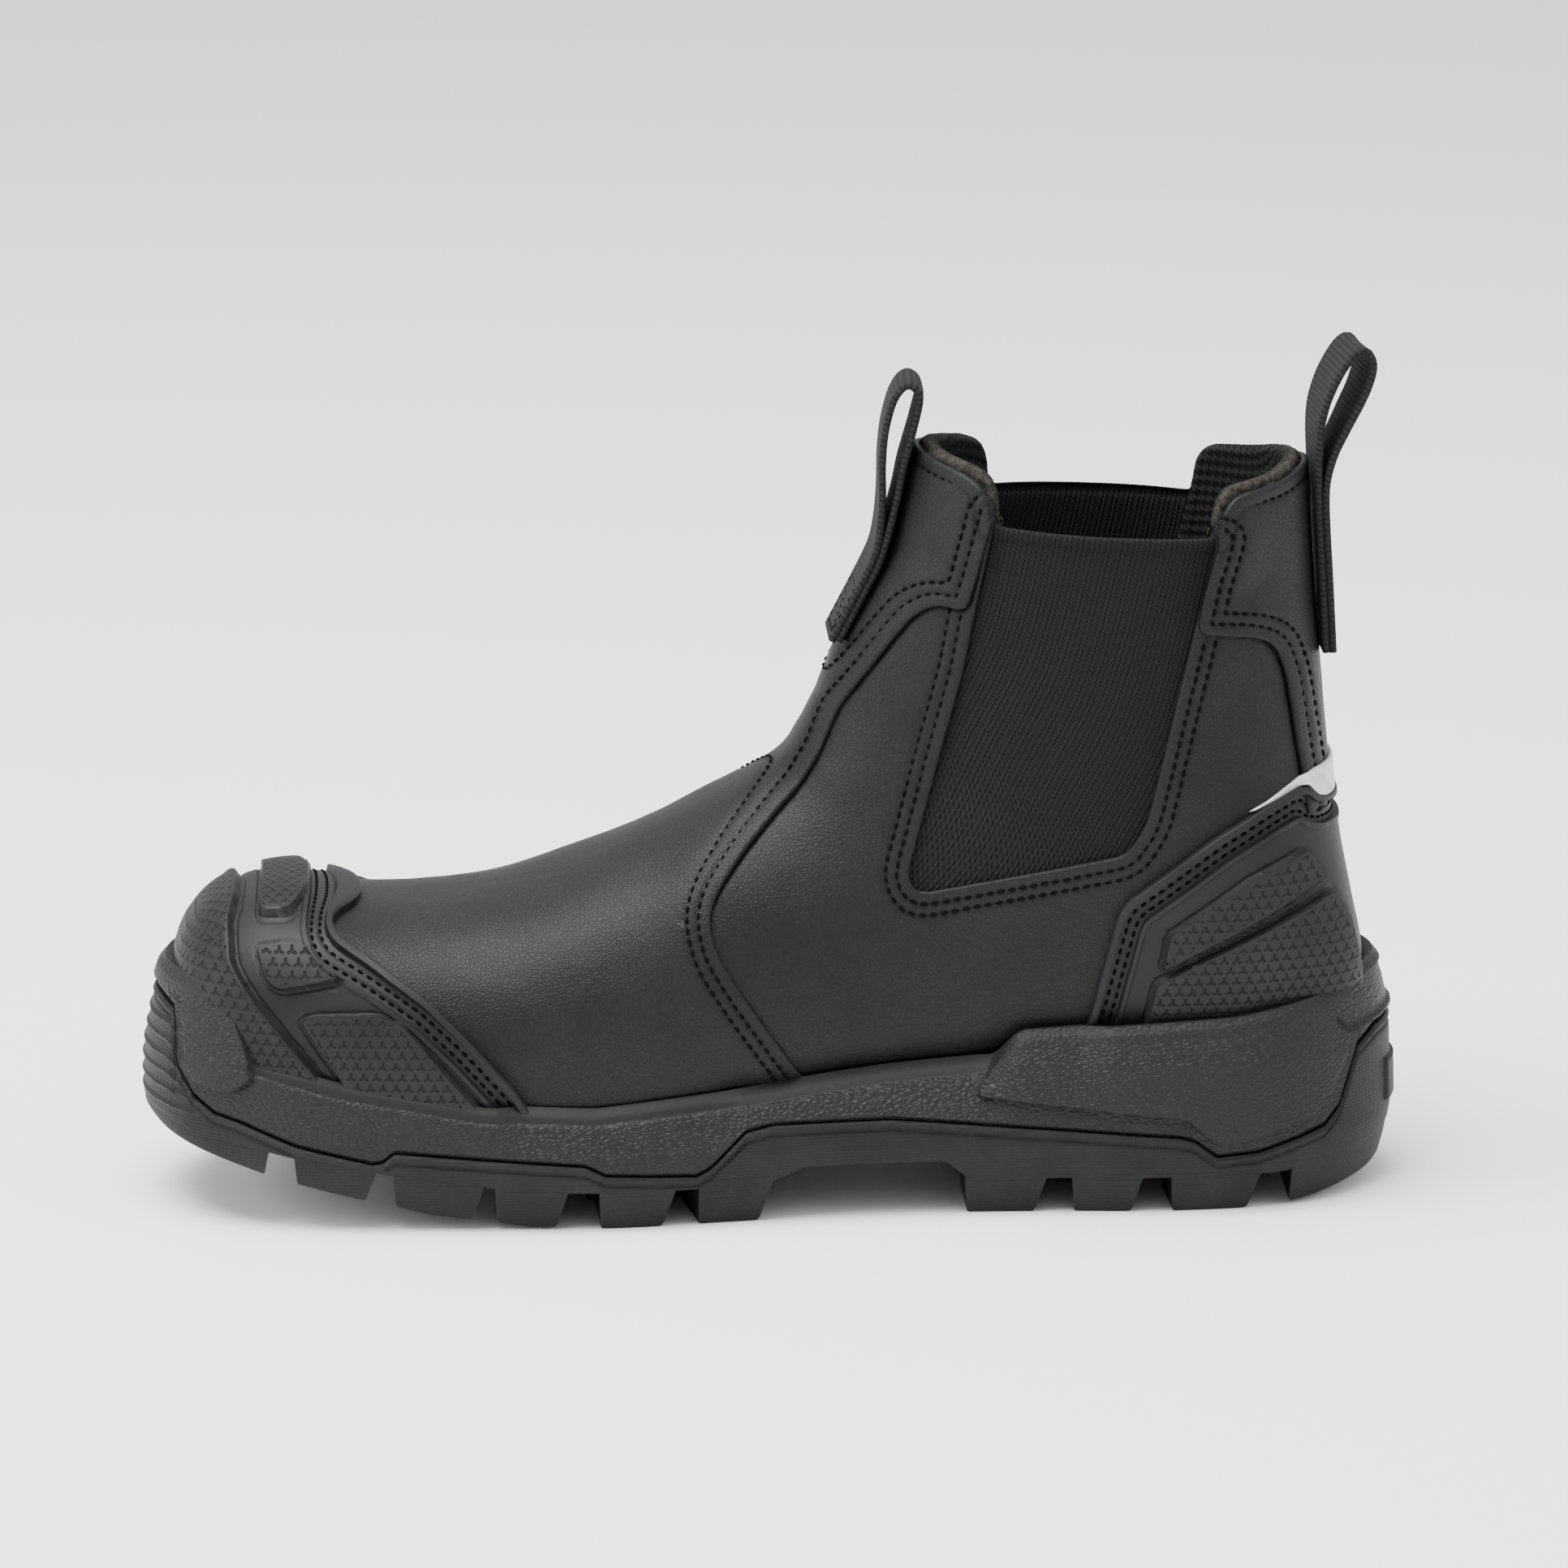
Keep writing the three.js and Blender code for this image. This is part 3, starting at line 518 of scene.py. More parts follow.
class Border:
    """A line seen from the side, closed far off: positive distances lie on its closed side."""

    def __init__(self, line, *far, soften=3):
        self.line = rounded(line, soften, closed=not far)
        self.region = np.vstack([self.line, far]) if far else self.line
        self.closed = not far

    def __call__(self, patch):
        return self.at(patch.xz)

    def at(self, points):
        side = np.where(inside(points, self.region) > 0, 1, -1)
        return side * edge_distance(points, self.line, self.closed)


# ---- finishes ----
class Wire:
    """A shader value that can be used in sums."""

    def __init__(self, finish, socket):
        self.finish = finish
        self.socket = socket

    def sum(self, operation, *values):
        return self.finish.node("ShaderNodeMath", {"operation": operation}, *values)

    def __add__(self, other):
        return self.sum("ADD", self, other)

    __radd__ = __add__

    def __sub__(self, other):
        return self.sum("SUBTRACT", self, other)

    def __rsub__(self, other):
        return self.sum("SUBTRACT", other, self)

    def __mul__(self, other):
        return self.sum("MULTIPLY", self, other)

    __rmul__ = __mul__

    def __truediv__(self, other):
        return self.sum("DIVIDE", self, other)

    def __lt__(self, other):
        return self.sum("LESS_THAN", self, other)

    def __gt__(self, other):
        return self.sum("GREATER_THAN", self, other)

    def sine(self):
        return self.sum("SINE", self)

    def distance(self):
        return self.sum("ABSOLUTE", self)

    def ease(self, low, high):
        """0 below low, 1 above high, and smooth between."""
        settings = {"interpolation_type": "SMOOTHSTEP"}
        return self.finish.node("ShaderNodeMapRange", settings, self, low, high, 0.0, 1.0)


class Finish:
    """A material on one Principled shader, with its bump built up from heights in millimetres."""

    def __init__(self, name, colour, roughness, **shader):
        self.material = bpy.data.materials.new(name)
        self.material.use_nodes = True
        self.tree = self.material.node_tree
        self.shader = next(node for node in self.tree.nodes if node.type == "BSDF_PRINCIPLED")
        self.shader.inputs["Base Color"].default_value = (*colour, 1)
        self.shader.inputs["Roughness"].default_value = roughness
        for socket, value in shader.items():
            self.shader.inputs[socket.replace("_", " ").title().replace("Ior", "IOR")].default_value = value
        self.material.diffuse_color = (*colour, 1)

    def node(self, kind, settings, *values, out=0, **named):
        made = self.tree.nodes.new(kind)
        for key, value in settings.items():
            setattr(made, key, value)
        for place, value in list(enumerate(values)) + list(named.items()):
            self.plug(made.inputs[place], value)
        return Wire(self, made.outputs[out])

    def plug(self, socket, value):
        if isinstance(value, Wire):
            self.tree.links.new(value.socket, socket)
        elif value is not None:
            socket.default_value = value

    def set(self, socket, value):
        self.plug(self.shader.inputs[socket], value)

    def surface(self):
        """Millimetres along a piece's surface, and across it."""
        place = self.node("ShaderNodeUVMap", {"uv_map": "surface"})
        parts = self.node("ShaderNodeSeparateXYZ", {}, place)
        across = Wire(self, parts.socket.node.outputs[1])
        return parts * UV_MM, across * UV_MM

    def place(self):
        """The point on the piece, in millimetres."""
        where = self.node("ShaderNodeTexCoord", {}, out="Object")
        return self.node("ShaderNodeVectorMath", {"operation": "SCALE"}, where, Scale=1 / MM)

    def axes(self, vector):
        parts = self.node("ShaderNodeSeparateXYZ", {}, vector)
        return [Wire(self, socket) for socket in parts.socket.node.outputs]

    def noise(self, vector, size, detail=2.0, roughness=0.55):
        return self.node("ShaderNodeTexNoise", {}, Vector=vector, Scale=1 / size, Detail=detail,
                         Roughness=roughness)

    def cells(self, vector, size, feature="F1"):
        return self.node("ShaderNodeTexVoronoi", {"feature": feature}, Vector=vector, Scale=1 / size)

    def mix(self, share, first, second):
        settings = {"data_type": "RGBA"}
        made = self.node("ShaderNodeMix", settings, share)
        for place, colour in ((6, first), (7, second)):
            self.plug(made.socket.node.inputs[place], colour if isinstance(colour, Wire) else (*colour, 1))
        return Wire(self, made.socket.node.outputs[2])

    def tone(self, share, colour, first, second):
        """A colour times first where share is 0, and times second where it is 1."""
        return self.mix(share, shade(colour, first), shade(colour, second))

    def bump(self, height, depth, strength=1.0):
        """Raises the surface by height, a value of about 0 to 1, times depth in millimetres."""
        bump = self.node("ShaderNodeBump", {}, Strength=strength, Distance=depth * MM, Height=height)
        self.set("Normal", bump)
        return self


def shade(colour, factor):
    return tuple(min(1.0, channel * factor) for channel in colour)


def swing(value, length):
    """A sine that swings between -1 and 1 once in each length."""
    return (value * (2 * math.pi / length)).sine()


def leather_finish(colours):
    finish = Finish("boot leather", colours.leather, 0.46, specular_ior_level=0.175)
    place = finish.place()
    patches = finish.noise(place, 26, 3)
    fine = finish.noise(place, 0.6, 3, 0.7)
    creases = finish.cells(place, 1.05, "DISTANCE_TO_EDGE").ease(0.0, 0.22)
    pores = finish.cells(place, 0.65).ease(0.05, 0.4)
    seam = finish.node("ShaderNodeAttribute", {"attribute_name": "pad"}, out="Fac")
    long = finish.noise(place, 5, 2)
    tone = finish.tone(patches.ease(0.3, 0.75), colours.leather, 0.8, 1.25)
    grained = finish.mix(creases * 0.7 + 0.3, shade(colours.leather, 0.55), tone)
    # Painted shade: the leather is painted darker along the stitch rows, as if shade lay in their grooves.
    finish.set("Base Color", finish.mix(seam, grained, shade(colours.leather, 0.2)))
    finish.set("Roughness", 0.40 + patches * 0.12 + fine * 0.10 - creases * 0.04)
    return finish.bump(creases * 0.42 + pores * 0.16 + fine * 0.26 + long * 0.9, 0.22, 0.6)


def tri_arms(finish, across, up, pitch):
    """Small three-armed marks on a triangular grid: 1 on an arm and 0 beside it."""
    row = up / (pitch * 0.866)
    column = across / pitch - row * 0.5
    row = row.sum("FRACT", row) - 0.5
    column = column.sum("FRACT", column) - 0.5
    x = column + row * 0.5
    y = row * 0.866
    marks = None
    for angle in (math.pi / 2, math.pi * 7 / 6, math.pi * 11 / 6):
        along = x * math.cos(angle) + y * math.sin(angle)
        aside = (y * math.cos(angle) - x * math.sin(angle)).distance()
        arm = (1 - aside.ease(0.05, 0.12)) * (1 - along.ease(0.34, 0.42)) * along.ease(-0.1, -0.04)
        marks = arm if marks is None else marks.sum("MAXIMUM", marks, arm)
    return marks


def guard_finish(colours):
    finish = Finish("moulded guard rubber", colours.guard, 0.5, specular_ior_level=0.2)
    place = finish.place()
    x, y, z = finish.axes(place)
    facing = finish.axes(finish.node("ShaderNodeNewGeometry", {}, out="Normal"))
    sideways = facing[1].distance() > 0.55
    upwards = facing[2].distance() > facing[0].distance()
    level = sideways.sum("MAXIMUM", sideways, upwards)
    steep = sideways.sum("MAXIMUM", sideways, 1 - upwards)
    arms = tri_arms(finish, x * level + y * (1 - level), z * steep + y * (1 - steep), 3.1)
    arms = arms * finish.node("ShaderNodeAttribute", {"attribute_name": "pad"}, out="Fac").ease(0.55, 0.95)
    grain = finish.noise(place, 0.5, 2, 0.6)
    cloud = finish.noise(place, 18, 2)
    tone = finish.tone(cloud.ease(0.3, 0.7), colours.guard, 0.85, 1.2)
    # Painted shade: the sunken three-armed marks are painted half as dark as the rubber round them.
    finish.set("Base Color", finish.mix(arms, tone, shade(colours.guard, 0.5)))
    finish.set("Roughness", 0.46 + grain * 0.12 + arms * 0.2)
    return finish.bump(grain * 0.08 - arms, 0.7, 1.0)


def midsole_finish(colours):
    finish = Finish("midsole foam", colours.midsole, 0.42, specular_ior_level=0.18)
    place = finish.place()
    long = finish.node("ShaderNodeVectorMath", {"operation": "MULTIPLY"}, place, (0.62, 0.62, 1.0))
    pebbles = finish.cells(long, 1.0, "SMOOTH_F1")
    edges = finish.cells(long, 1.0, "DISTANCE_TO_EDGE").ease(0.0, 0.3)
    fine = finish.noise(place, 0.6, 2)
    cloud = finish.noise(place, 22, 2)
    smooth = finish.node("ShaderNodeAttribute", {"attribute_name": "pad"}, out="Fac")
    rough = 1 - smooth
    tone = finish.tone(cloud, colours.midsole, 0.8, 1.25)
    finish.set("Base Color", finish.mix(edges * 0.3 + 0.7, shade(colours.midsole, 0.6), tone))
    finish.set("Roughness", 0.54 - rough * 0.12 + fine * 0.1)
    return finish.bump((edges * 0.4 + fine * 0.15 - pebbles * 0.6) * (0.1 + rough * 0.9), 0.42, 0.9)


def outsole_finish(colours):
    finish = Finish("outsole rubber", colours.outsole, 0.55, specular_ior_level=0.16)
    place = finish.place()
    x, y, z = finish.axes(place)
    upright = finish.axes(finish.node("ShaderNodeNewGeometry", {}, out="Normal"))[2].distance()
    wall = 1 - upright.ease(0.45, 0.75)
    dots = swing(x + y + z, 1.7) * swing(x + y - z, 1.7) * 0.5 + 0.5
    rows = swing(z, 1.6) * 0.5 + 0.5
    low = 1 - z.ease(11, 15)
    grain = finish.noise(place, 0.45, 3, 0.65)
    dust = finish.noise(place, 14, 4, 0.6)
    tone = finish.tone(dust.ease(0.3, 0.8), colours.outsole, 0.8, 1.3)
    finish.set("Base Color", tone)
    finish.set("Roughness", 0.5 + grain * 0.16)
    pattern = wall * (low * rows * 0.35 + dots * 0.6)
    return finish.bump(pattern + grain * 0.3, 0.26, 0.7)


def elastic_finish(colours):
    finish = Finish("woven elastic", colours.elastic, 0.85, specular_ior_level=0.12)
    along, across = finish.surface()
    twill = swing(along + across, 2.7) * swing(along - across, 2.7) * 0.5 + 0.5
    wales = swing(across, 0.95) * 0.5 + 0.5
    fuzz = finish.noise(finish.place(), 0.4, 3, 0.7)
    height = twill * 0.8 + wales * 0.2
    finish.set("Base Color", finish.tone(height, colours.elastic, 0.3, 2.0))
    finish.set("Roughness", 0.78 + fuzz * 0.18)
    return finish.bump(height + fuzz * 0.3, 0.8, 1.0)


def mesh_finish(colours):
    finish = Finish("lining mesh", colours.lining, 0.95, specular_ior_level=0.08)
    along, across = finish.surface()
    rows = swing(along, 3.2)
    holes = rows * (across * (2 * math.pi / 2.4) + rows * 0.6).sine() * 0.5 + 0.5
    fuzz = finish.noise(finish.place(), 0.35, 3, 0.75)
    felt = finish.node("ShaderNodeAttribute", {"attribute_name": "pad"}, out="Fac")
    knit = finish.tone(holes, colours.lining, 0.25, 1.6)
    clumps = finish.noise(finish.place(), 1.6, 3, 0.7)
    rim = finish.tone((fuzz * 0.5 + clumps * 0.5).ease(0.38, 0.62), colours.felt, 0.3, 1.35)
    finish.set("Base Color", finish.mix(felt, knit, rim))
    return finish.bump(holes * (1 - felt) * 0.8 + fuzz * (0.3 + felt * 0.7) + clumps * felt * 0.9, 0.9, 1.0)


def webbing_finish(colours):
    finish = Finish("pull loop webbing", colours.webbing, 0.78, specular_ior_level=0.16)
    along, across = finish.surface()
    rows = swing(along, 1.35) * 0.5 + 0.5
    yarns = swing(across + along * 0.25, 0.9) * 0.5 + 0.5
    fuzz = finish.noise(finish.place(), 0.4, 3, 0.7)
    height = rows * 0.7 + yarns * 0.3
    finish.set("Base Color", finish.tone(height * 0.8 + fuzz * 0.2, colours.webbing, 0.4, 1.8))
    finish.set("Roughness", 0.7 + fuzz * 0.2)
    return finish.bump(height + fuzz * 0.2, 0.4, 0.9)


def tape_finish(colours):
    finish = Finish("reflective tape", colours.tape, 0.36, metallic=0.55)
    place = finish.place()
    beads = finish.cells(place, 0.55).ease(0.1, 0.5)
    scuffs = finish.noise(place, 7, 4, 0.65).ease(0.45, 0.7)
    finish.set("Base Color", finish.mix(scuffs, colours.tape, shade(colours.tape, 0.78)))
    finish.set("Roughness", 0.3 + beads * 0.1 + scuffs * 0.12)
    return finish.bump(beads, 0.06, 0.5)


def thread_finish(colours):
    finish = Finish("sewing thread", colours.thread, 0.75, specular_ior_level=0.05)
    place = finish.place()
    strands = finish.noise(place, 0.25, 1)
    finish.set("Base Color", finish.tone(strands, colours.thread, 0.6, 1.6))
    return finish.bump(strands, 0.12, 0.8)


def footbed_finish(colours):
    finish = Finish("footbed fabric", colours.footbed, 0.92, specular_ior_level=0.15, sheen_weight=0.2)
    x, y, z = finish.axes(finish.place())
    knit = swing(x, 1.6) * swing(y, 1.6) * 0.5 + 0.5
    fuzz = finish.noise(finish.place(), 0.5, 3, 0.7)
    finish.set("Base Color", finish.tone(knit, colours.footbed, 0.6, 1.4))
    return finish.bump(knit * 0.7 + fuzz * 0.4, 0.3, 0.8)


def plain_finish(name, colour, roughness, size, depth, metallic=0.0):
    """Steel, board and foam, which the upper hides."""
    finish = Finish(name, colour, roughness, metallic=metallic)
    place = finish.place()
    grain = finish.noise(place, size, 4, 0.65)
    specks = finish.cells(place, size * 2).ease(0.1, 0.6)
    finish.set("Base Color", finish.tone(grain.ease(0.3, 0.7), colour, 0.75, 1.2))
    finish.set("Roughness", roughness - 0.1 + grain * 0.2)
    return finish.bump(grain * 0.6 + specks * 0.4, depth, 0.7)


FINISHES = {}


def finish_of(name):
    """The material of that name, made when it is first asked for."""
    if name not in FINISHES:
        colours = bpy.context.scene.boot_colours
        makers = {
            "leather": leather_finish, "guard": guard_finish, "midsole": midsole_finish,
            "outsole": outsole_finish, "elastic": elastic_finish, "lining": mesh_finish,
            "webbing": webbing_finish, "tape": tape_finish, "thread": thread_finish,
            "footbed": footbed_finish,
        }
        FINISHES[name] = makers[name](colours).material
    return FINISHES[name]


# ---- borders of the upper's panels ----
COLLAR_LINE = FRONT_RIM + [(80, 167.4)] + REAR_RIM
LINING_LINE = [(x, z + 1.8) for x, z in COLLAR_LINE]
BELOW = [(300, 186), (300, -100), (-300, -100), (-300, 187.5)]
VAMP = Border(VAMP_EDGE, (-300, 20), (-300, 230), (54, 230))
WINDOW = Border(GORE, (108.4, 230), (53.4, 230))
BACKSTAY = Border(BACKSTAY_EDGE, (300, 96), (300, 230), (108.4, 230))
COLLAR = Border(COLLAR_LINE, *BELOW, soften=2)
LINING_RIM = Border(LINING_LINE, *BELOW, soften=2)
TOE_GUARD = Border(TOE_GUARD_EDGE, (-54, -50), (-300, -50), (-300, 90))
HEEL_GUARD = Border(HEEL_GUARD_EDGE, (300, 98.4), (300, -50), (72, -50), soften=4)
TAPE = Border(TAPE_OUTLINE, soften=1)
TOE_PAD_BORDERS = [Border(pad, soften=1.2) for pad in TOE_PADS]
HEEL_PAD_BORDERS = [Border(pad, soften=1.2) for pad in HEEL_PADS]
# Distances of the stitch rows from a panel's edge, from the collar's edge, and from a guard's edge.
STITCH_ROWS = (3.0, 5.7)
COLLAR_ROW = (3.2,)
GUARD_ROWS = (3.0, 5.0)
LEATHER_THICK = 1.8
ELASTIC_THICK = 1.5
ELASTIC_TUCK = 6  # how far the elastic reaches behind the leather
LAP_HOLLOW = 1.35  # how far the leather's underside rises where it laps over another piece


def outside_of(border, reach=0.0):
    return lambda patch: reach - border(patch)


def above_sole(drop):
    return lambda patch: patch.data[:, 2] - height_on(MIDSOLE_RIM, patch.data[:, 0]) + drop


def on_side(side):
    return lambda patch: side * patch.data[:, 1]


def crease(patch, field, places, width=0.8):
    """Adds points along lines at these distances, so that a groove or a step has an edge to turn on."""
    for place in places:
        for offset in ((-width, 0, width) if width else (0,)):
            patch.cut(field, place + offset)


def groove(distance, rows=STITCH_ROWS, depth=0.34):
    return -depth * sum(bump_at(distance, row, 0.55) for row in rows)


def seam(distance, rows=STITCH_ROWS):
    """How much darker the leather is painted round rows of stitches: painted shade in their sunken grooves.
    """
    return 0.6 * sum(bump_at(distance, row, 0.6) for row in rows)


def lap(distance, rise):
    """How far a panel stands up near an edge that lies on another panel."""
    return rise * (1 - smoothstep(4, 16, distance))


def stitch_lines(patch, field, rows, height, allowed=None):
    lines = []
    for row in rows:
        for line in patch.contour(field, row):
            if allowed is not None:
                probe = Patch.__new__(Patch)
                probe.data = line
                good = allowed(probe) > 0
                ends = np.flatnonzero(np.diff(np.concatenate([[0], good.astype(int), [0]])))
                pieces = [line[a:b] for a, b in zip(ends[::2], ends[1::2]) if b - a > 4]
            else:
                pieces = [line]
            lines += [(piece, height) for piece in pieces]
    return lines


def colour_property(name, description, *default):
    settings = {"subtype": "COLOR", "min": 0, "max": 1}
    return FloatVectorProperty(name=name, description=description, default=default, **settings)


class BootColours(bpy.types.PropertyGroup):
    leather: colour_property("Leather", "Vamp, quarters and backstay", 0.0078, 0.0082, 0.0081)
    guard: colour_property("Guards", "Moulded toe and heel guards", 0.0080, 0.0088, 0.0098)
    midsole: colour_property("Midsole", "Moulded foam sidewall", 0.0105, 0.0107, 0.0112)
    outsole: colour_property("Outsole", "Rubber tread and its sidewall", 0.0100, 0.0102, 0.0106)
    elastic: colour_property("Elastic", "Side gores", 0.0085, 0.0085, 0.0088)
    lining: colour_property("Lining", "Knitted mesh inside the boot", 0.0160, 0.0158, 0.0150)
    felt: colour_property("Collar edge", "Brushed edge of the lining", 0.0520, 0.0480, 0.0400)
    webbing: colour_property("Webbing", "Pull loops", 0.0095, 0.0095, 0.0098)
    tape: colour_property("Reflective tape", "Band above the heel guard", 0.5600, 0.5700, 0.5800)
    thread: colour_property("Thread", "All visible stitching", 0.0016, 0.0016, 0.0017)
    footbed: colour_property("Footbed", "Cloth over the removable footbed", 0.0300, 0.0300, 0.0320)


class BootSizes(bpy.types.PropertyGroup):
    fineness: FloatProperty(
        name="Mesh size", description="Edge length of the upper's triangles, in millimetres",
        default=2.0, min=0.8, max=8,
    )
    lap_rise: FloatProperty(
        name="Lap rise", description="Step where one leather lies on another, in millimetres",
        default=1.35, min=0, max=1.8,
    )
    stitch_pitch: FloatProperty(
        name="Stitch pitch", description="Length of one stitch and its gap, in millimetres",
        default=2.7, min=1.5, max=6,
    )
    guard_rise: FloatProperty(
        name="Guard rise", description="Height of the guards' band, in millimetres", default=2.1,
        min=0.5, max=2.6,
    )
    pad_rise: FloatProperty(
        name="Pad rise", description="Height of the grip pads above the band, in millimetres",
        default=2.0, min=0.2, max=2.2,
    )
    twist: FloatProperty(
        name="Loop twist", description="Turn of the pull loops at their tops", subtype="ANGLE",
        default=0.12, min=0, max=0.5,
    )
    columns: IntProperty(
        name="Sole columns", description="Points round the sole's wall", default=1080, min=120,
        max=1600,
    )


class UpperOperator(bpy.types.Operator):
    """Vamp, quarters and backstay, with their stitching"""
    bl_idname = "boot.make_upper"
    bl_label = "Make leather upper"

    def execute(self, context):
        sizes = context.scene.boot_sizes
        leather = finish_of("leather")
        skin = Patch((0.03, LAST_END), sizes.fineness).keep(COLLAR).keep(above_sole(9))
        threads = []

        def waves(patch):
            return 0.22 * ripple(patch.data[:, :3], 42, 5) + 0.05 * ripple(patch.data[:, :3], 9, 8)

        def tab(name, border):
            """A piece that laps over the quarters and ends at the collar."""
            patch = skin.copy().keep(border)
            crease(patch, border, (0.2, 0.5), 0)
            crease(patch, border, STITCH_ROWS)
            crease(patch, COLLAR, (0.25, 0.6, 1.2), 0)
            crease(patch, COLLAR, COLLAR_ROW)

            def top(part):
                edge, rim = border(part), COLLAR(part)
                falls = edge_fall(edge, 0.5) + edge_fall(rim, 0.8)
                grooves = groove(edge) + groove(rim, COLLAR_ROW)
                return lap(edge, sizes.lap_rise) - falls + grooves + waves(part)

            def bottom(part):
                return lap(border(part), LAP_HOLLOW) - LEATHER_THICK

            # Where the leather is painted darker round its stitch rows: painted shade in their grooves.
            def marks(part):
                return np.clip(seam(border(part)) + seam(COLLAR(part), COLLAR_ROW), 0, 1)

            threads.extend(stitch_lines(patch, border, STITCH_ROWS, sizes.lap_rise - 0.10))
            threads.extend(stitch_lines(patch, COLLAR, COLLAR_ROW, -0.12, lambda p: border(p) - 7))
            made = sheet_mesh(f"{name}_leather", patch, top, bottom, leather, marks)
            settle(made, "upper_leather", name)

        def tucked(patch):
            """1 where a quarter runs under the vamp or the backstay."""
            return smoothstep(-0.8, 0, VAMP(patch)) + smoothstep(-0.8, 0, BACKSTAY(patch))

        def quarter_top(patch):
            window, under = -WINDOW(patch), tucked(patch)
            return waves(patch) * (1 - under) - 0.3 * under - edge_fall(window, 0.8) + groove(window)

        def quarter_bottom(patch):
            return np.full(len(patch.data), -LEATHER_THICK)

        def in_sight(patch):
            return np.minimum(-VAMP(patch), -BACKSTAY(patch)) - 0.8

        tab("vamp", VAMP)
        quarter = skin.copy().keep(outside_of(VAMP, 5)).keep(outside_of(WINDOW)).keep(outside_of(BACKSTAY, 5))
        crease(quarter, outside_of(WINDOW), (0.2, 0.55, 1.1), 0)
        crease(quarter, outside_of(WINDOW), STITCH_ROWS)
        crease(quarter, VAMP, (-0.8, 0), 0)
        crease(quarter, BACKSTAY, (-0.8, 0), 0)
        threads += stitch_lines(quarter, outside_of(WINDOW), STITCH_ROWS, -0.10, in_sight)
        for side, name in ((-1, "inner"), (1, "outer")):
            half = quarter.copy().keep(on_side(side))
            # The quarters are painted darker round the window's stitch rows: painted shade in their grooves.
            made = sheet_mesh(f"quarter_{name}_leather", half, quarter_top, quarter_bottom, leather,
                              lambda p: seam(-WINDOW(p)))
            settle(made, "upper_leather", f"quarter_{name}")
        tab("backstay", BACKSTAY)
        sewn = thread_mesh("upper_stitching", threads, finish_of("thread"), sizes.stitch_pitch)
        settle(sewn, "upper_leather")
        return {"FINISHED"}


class GoreOperator(bpy.types.Operator):
    """Woven elastic gores on both sides, with a raised selvedge"""
    bl_idname = "boot.make_gores"
    bl_label = "Make elastic gores"

    def execute(self, context):
        patch = Patch((8, LAST_END), context.scene.boot_sizes.fineness)
        patch.keep(COLLAR).keep(WINDOW, -ELASTIC_TUCK)
        crease(patch, COLLAR, (0.2, 0.5, 1.0, 2.0, 2.4, 2.8), 0)

        def rise(part):
            rim, edge = COLLAR(part), WINDOW(part)
            bulge = 0.75 * smoothstep(0, 16, edge) + 0.16 * ripple(part.data[:, :3], 24, 3)
            selvedge = 0.5 * (1 - smoothstep(2.0, 2.8, rim))
            return -1.85 + bulge * smoothstep(-2, 3, edge) + selvedge - edge_fall(rim, 0.6)

        def under(part):
            return rise(part) - ELASTIC_THICK

        for side, name in ((-1, "inner"), (1, "outer")):
            half = patch.copy().keep(on_side(side))
            made = sheet_mesh(f"gore_{name}_elastic", half, rise, under, finish_of("elastic"))
            settle(made, "elastic", f"elastic_gore_{name}")
        return {"FINISHED"}


class LiningOperator(bpy.types.Operator):
    """Knitted linings with their brushed collar edge"""
    bl_idname = "boot.make_linings"
    bl_label = "Make linings"

    def execute(self, context):
        patch = Patch((0.6, LAST_END), context.scene.boot_sizes.fineness).keep(above_sole(12))

        def edge(part):
            return np.minimum(LINING_RIM(part), 1.0 - WINDOW(part))

        patch.keep(edge)
        crease(patch, edge, (0.2, 0.5, 0.9, 1.4, 2.0, 3.2, 4.4, 6), 0)

        def felt(part):
            return 1 - smoothstep(3.2, 4.4, edge(part))

        def outer(part):
            rim = edge(part)
            points = part.data[:, :3]
            fuzz = (0.2 * ripple(points, 4, 4) + 0.12 * ripple(points, 2.2, 6)) * felt(part)
            below = 1 - smoothstep(-1, 2, WINDOW(part) + 3)
            return -4.2 + 1.9 * (1 - smoothstep(3, 7, rim)) * below - edge_fall(rim, 1.5) + fuzz

        def inner(part):
            rim = edge(part)
            return -6.0 - 0.2 * (1 - smoothstep(2, 5, rim)) + edge_fall(rim, 1.5)

        seam = {"front": lambda p: LINING_SEAM - p.data[:, 0], "rear": lambda p: p.data[:, 0] - LINING_SEAM}
        for name, field in seam.items():
            half = patch.copy().keep(field)
            made = sheet_mesh(f"{name}_lining_mesh", half, outer, inner, finish_of("lining"), felt)
            settle(made, "lining_mesh", f"{name}_lining")
        return {"FINISHED"}


def guard_profile(distance, pads, sizes):
    """Height of a guard: a bead, a sunk channel with two rows of stitches, a second bead, then the band."""
    band = sizes.guard_rise
    height = band + 0.4 - edge_fall(distance, 0.6)
    height -= (band - 0.45) * (smoothstep(1.6, 1.9, distance) - smoothstep(6.1, 6.4, distance))
    height -= 0.4 * smoothstep(7.4, 7.7, distance)
    moat = 0.3 * smoothstep(-1.0, -0.7, pads) * (1 - smoothstep(-0.3, 0, pads)) * smoothstep(8, 8.5, distance)
    return height + groove(distance, GUARD_ROWS, 0.3) + sizes.pad_rise * smoothstep(0, 0.5, pads) - moat


